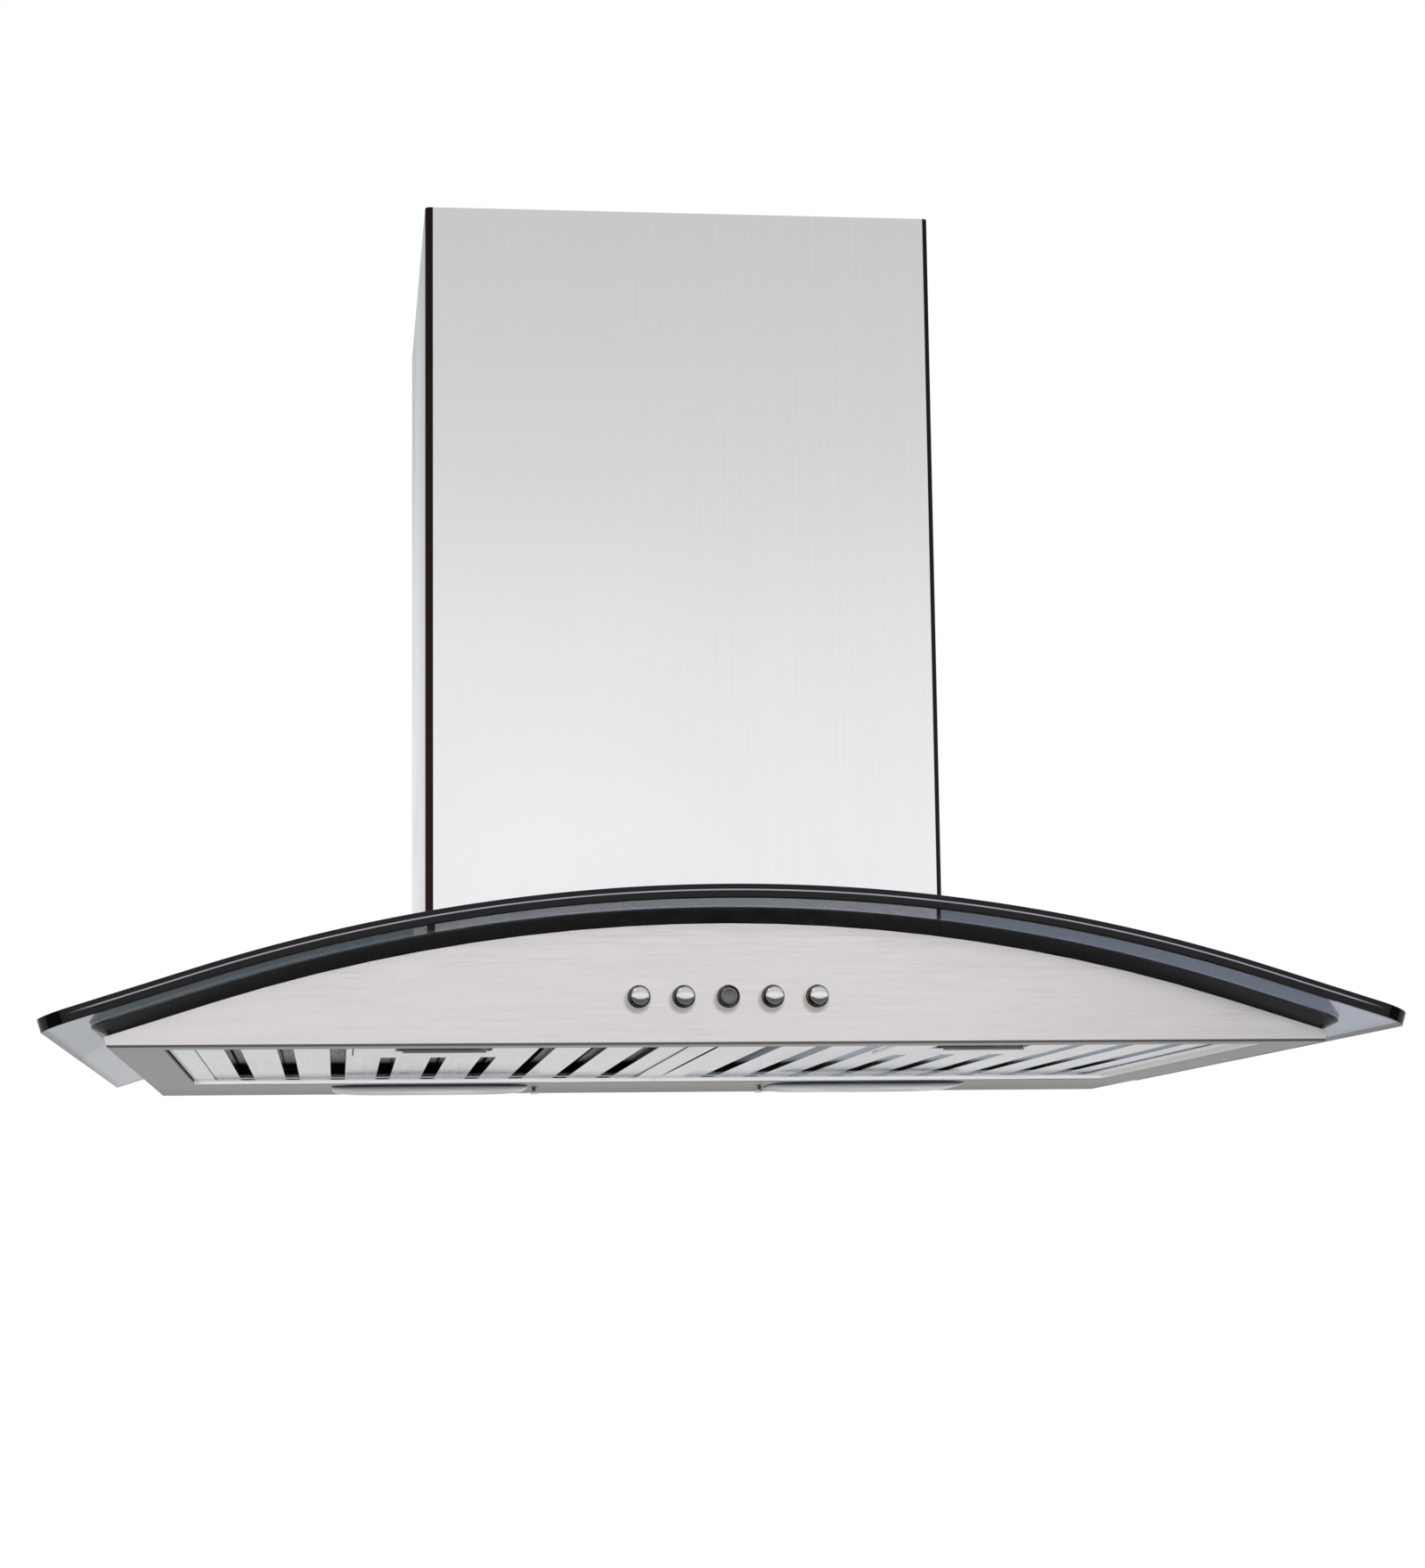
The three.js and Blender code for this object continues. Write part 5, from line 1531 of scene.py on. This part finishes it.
@dataclass
class Studio:
    """Pale floor, plain backdrop, soft lights and the camera."""

    eye: tuple[float, float, float] = (-0.1733, -1.8929, -0.1142)
    turn: float = 6.668
    tilt: float = 8.002
    roll: float = -0.72
    focal: float = 74.38
    floor_drop: float = 1.1

    def camera(self) -> None:
        """Looks along (sin a cos b, cos a cos b, sin b), rolled about that line."""
        a, b, r = (math.radians(v) for v in (self.turn, self.tilt, self.roll))
        ahead = np.array([math.sin(a) * math.cos(b), math.cos(a) * math.cos(b), math.sin(b)])
        right = np.array([math.cos(a), -math.sin(a), 0.0])
        up = np.cross(right, ahead)
        rolled_right = right * math.cos(r) + up * math.sin(r)
        rolled_up = up * math.cos(r) - right * math.sin(r)
        data = bpy.data.cameras.new("camera")
        data.lens, data.sensor_width, data.clip_start = self.focal, 36.0, 0.05
        item = bpy.data.objects.new("camera", data)
        bpy.context.scene.collection.objects.link(item)
        axes = np.eye(4)
        axes[:3, 0], axes[:3, 1], axes[:3, 2], axes[:3, 3] = rolled_right, rolled_up, -ahead, self.eye
        item.matrix_world = Matrix(axes.tolist())
        bpy.context.scene.camera = item

    def _sky_value(self, nodes: Nodes) -> bpy.types.NodeSocket:
        """Studio brightness by height: bright walls, a greyer band above them and a dark ground.

        Args:
            nodes: the world's node layer.

        Returns:
            The colour.
        """
        source = nodes.add("ShaderNodeTexCoord")
        height = nodes.axes(source.outputs["Generated"])[2]
        ramp = nodes.add("ShaderNodeValToRGB")
        nodes.feed(ramp.inputs[0], nodes.rise_linear(height, -1.0, 1.0))
        stops = [(0.0, 0.30), (0.38, 0.34), (0.46, 0.62), (0.5, 0.84), (0.56, 0.93), (0.59, 0.85)]
        stops += [(0.62, 0.71), (0.655, 0.62), (0.8, 0.75), (1.0, 1.0)]
        elements = ramp.color_ramp.elements
        for (place, value), element in zip(stops, [elements[0], elements[1]]):
            element.position, element.color = place, (value, value, value * 1.01, 1.0)
        for place, value in stops[2:]:
            element = elements.new(place)
            element.color = (value, value, value * 1.01, 1.0)
        return ramp.outputs[0]

    def backdrop(self) -> None:
        """White to the eye, and a soft grey studio in reflections."""
        world = bpy.data.worlds.new("studio")
        world.use_nodes = True
        bpy.context.scene.world = world
        nodes = Nodes(world.node_tree)
        shown = world.node_tree.nodes["Background"]
        shown.inputs["Color"].default_value = (1.0, 1.0, 1.0, 1.0)
        lit = nodes.add("ShaderNodeBackground")
        nodes.feed(lit.inputs["Color"], self._sky_value(nodes))
        path = nodes.add("ShaderNodeLightPath")
        choose = nodes.add("ShaderNodeMixShader")
        nodes.feed(choose.inputs[0], path.outputs["Is Camera Ray"])
        world.node_tree.links.new(lit.outputs[0], choose.inputs[1])
        world.node_tree.links.new(shown.outputs[0], choose.inputs[2])
        world.node_tree.links.new(choose.outputs[0], world.node_tree.nodes["World Output"].inputs["Surface"])

    def floor(self) -> None:
        """A wide pale floor under the hood, clear when seen from below."""
        low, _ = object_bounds()
        span = np.linspace(-12.0, 12.0, 9)
        x, y = np.meshgrid(span, span, indexing="xy")
        item = surface("floor", np.stack([x, y, 0 * x + low[2] - self.floor_drop], -1))
        material = bpy.data.materials.new("pale_floor")
        material.use_nodes = True
        nodes = Nodes(material.node_tree)
        matt = material.node_tree.nodes["Principled BSDF"]
        matt.inputs["Roughness"].default_value = 0.9
        y = nodes.axes(nodes.place())[1]
        near = nodes.rise(y, -0.8, -0.2)
        nodes.feed(matt.inputs["Base Color"], nodes.blend(near, (0.1, 0.1, 0.1, 1.0), (0.6, 0.6, 0.6, 1.0)))
        shown = nodes.add("ShaderNodeEmission")
        path = nodes.add("ShaderNodeLightPath")
        choose = nodes.add("ShaderNodeMixShader")
        nodes.feed(choose.inputs[0], path.outputs["Is Camera Ray"])
        material.node_tree.links.new(matt.outputs[0], choose.inputs[1])
        material.node_tree.links.new(shown.outputs[0], choose.inputs[2])
        side = nodes.add("ShaderNodeNewGeometry")
        clear = nodes.add("ShaderNodeBsdfTransparent")
        from_below = nodes.add("ShaderNodeMixShader")
        nodes.feed(from_below.inputs[0], side.outputs["Backfacing"])
        material.node_tree.links.new(choose.outputs[0], from_below.inputs[1])
        material.node_tree.links.new(clear.outputs[0], from_below.inputs[2])
        output = material.node_tree.nodes["Material Output"]
        material.node_tree.links.new(from_below.outputs[0], output.inputs["Surface"])
        item.data.materials.append(material)
        item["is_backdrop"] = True

    def card(self) -> None:
        """A grey card behind the hood that is seen only through glass and lenses."""
        x, z = np.meshgrid(np.linspace(-1.2, 2.4, 3), np.linspace(-0.5, 0.9, 3), indexing="xy")
        item = surface("grey_card", np.stack([x, 0 * x + 0.35, z], -1))
        material = bpy.data.materials.new("grey_card")
        material.use_nodes = True
        shader = material.node_tree.nodes["Principled BSDF"]
        nodes = Nodes(material.node_tree)
        shader.inputs["Base Color"].default_value = (0.0, 0.0, 0.0, 1.0)
        across = nodes.axes(nodes.place())[0]
        first = nodes.blend(nodes.rise(across, -0.52, -0.3), (0.95, 0.95, 0.97, 1.0), (0.32, 0.36, 0.38, 1.0))
        shade = nodes.blend(nodes.rise(across, -0.3, 0.35), first, (0.46, 0.5, 0.58, 1.0))
        nodes.feed(shader.inputs["Emission Color"], shade)
        shader.inputs["Emission Strength"].default_value = 1.0
        item.data.materials.append(material)
        item.visible_camera = item.visible_diffuse = item.visible_glossy = item.visible_shadow = False
        item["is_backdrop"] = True

    def light(
        self, name: str, place: Sequence[float], target: Sequence[float], size: Sequence[float], power: float
    ) -> None:
        """One soft box.

        Args:
            name: the light's name.
            place: where it stands.
            target: what it faces.
            size: its width and height.
            power: its power in watts.
        """
        data = bpy.data.lights.new(name, "AREA")
        data.shape, data.size, data.size_y, data.energy = "RECTANGLE", size[0], size[1], power
        item = bpy.data.objects.new(name, data)
        item.visible_glossy = False
        bpy.context.scene.collection.objects.link(item)
        ahead = np.array(target, float) - np.array(place, float)
        ahead /= np.linalg.norm(ahead)
        right = np.cross(ahead, [0.0, 0.0, 1.0])
        right /= np.linalg.norm(right)
        axes = np.eye(4)
        axes[:3, 0], axes[:3, 1], axes[:3, 2], axes[:3, 3] = right, np.cross(right, ahead), -ahead, place
        item.matrix_world = Matrix(axes.tolist())

    def build(self) -> None:
        """Sets up camera, floor, backdrop and lights."""
        self.camera()
        self.backdrop()
        self.floor()
        self.card()
        self.light("key", (-1.3, -2.6, 1.9), (0.0, -0.3, 0.0), (1.4, 1.0), 26.0)
        self.light("fill", (1.8, -2.2, 0.9), (0.0, -0.3, 0.0), (1.2, 1.2), 12.0)
        view = bpy.context.scene.view_settings
        view.view_transform, view.look = "Standard", "None"


# ---- The hood ------------------------------------------------------------------------------------


class Hood:
    """The whole object: builds each sub-assembly in order and dresses it."""

    def __init__(self, frame: dict) -> None:
        """Keeps the frame and works out the arch.
        """
        self.frame = frame
        self.arch = Arch(top=float(node_box("glass_canopy")[1][2]))
        self.palette = Palette(SharedEffects())

    def build(self) -> None:
        """Builds and dresses everything."""
        self.palette.dress_frame(self.frame)
        canopy = Canopy(self.arch)
        self.palette.dress(canopy.glass(), "smoked_glass")
        self.palette.dress(canopy.trim(), "black_trim")
        chimney = Chimney(self.arch)
        lower = chimney.cover("lower_cover", "chimney_lower_cover", "hood", True)
        upper = chimney.cover("upper_cover", "chimney_upper_cover", "upper_cover", False)
        for item in (lower, upper):
            self.palette.dress(item, "chimney_steel")
        for item, slot in Controls().build():
            self.palette.dress(item, slot)
        for sign in (-1, 1):
            self.palette.dress(LampLens(sign).build(), "blue_lens")
        for spring in springs():
            self.palette.dress(spring.build(), "spring_steel")


def main() -> None:
    """Loads the frame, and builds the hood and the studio."""
    logging.basicConfig(level=logging.INFO, format="%(name)s: %(message)s")
    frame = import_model()
    Hood(frame).build()
    Studio().build()


if __name__ == "__main__":
    main()
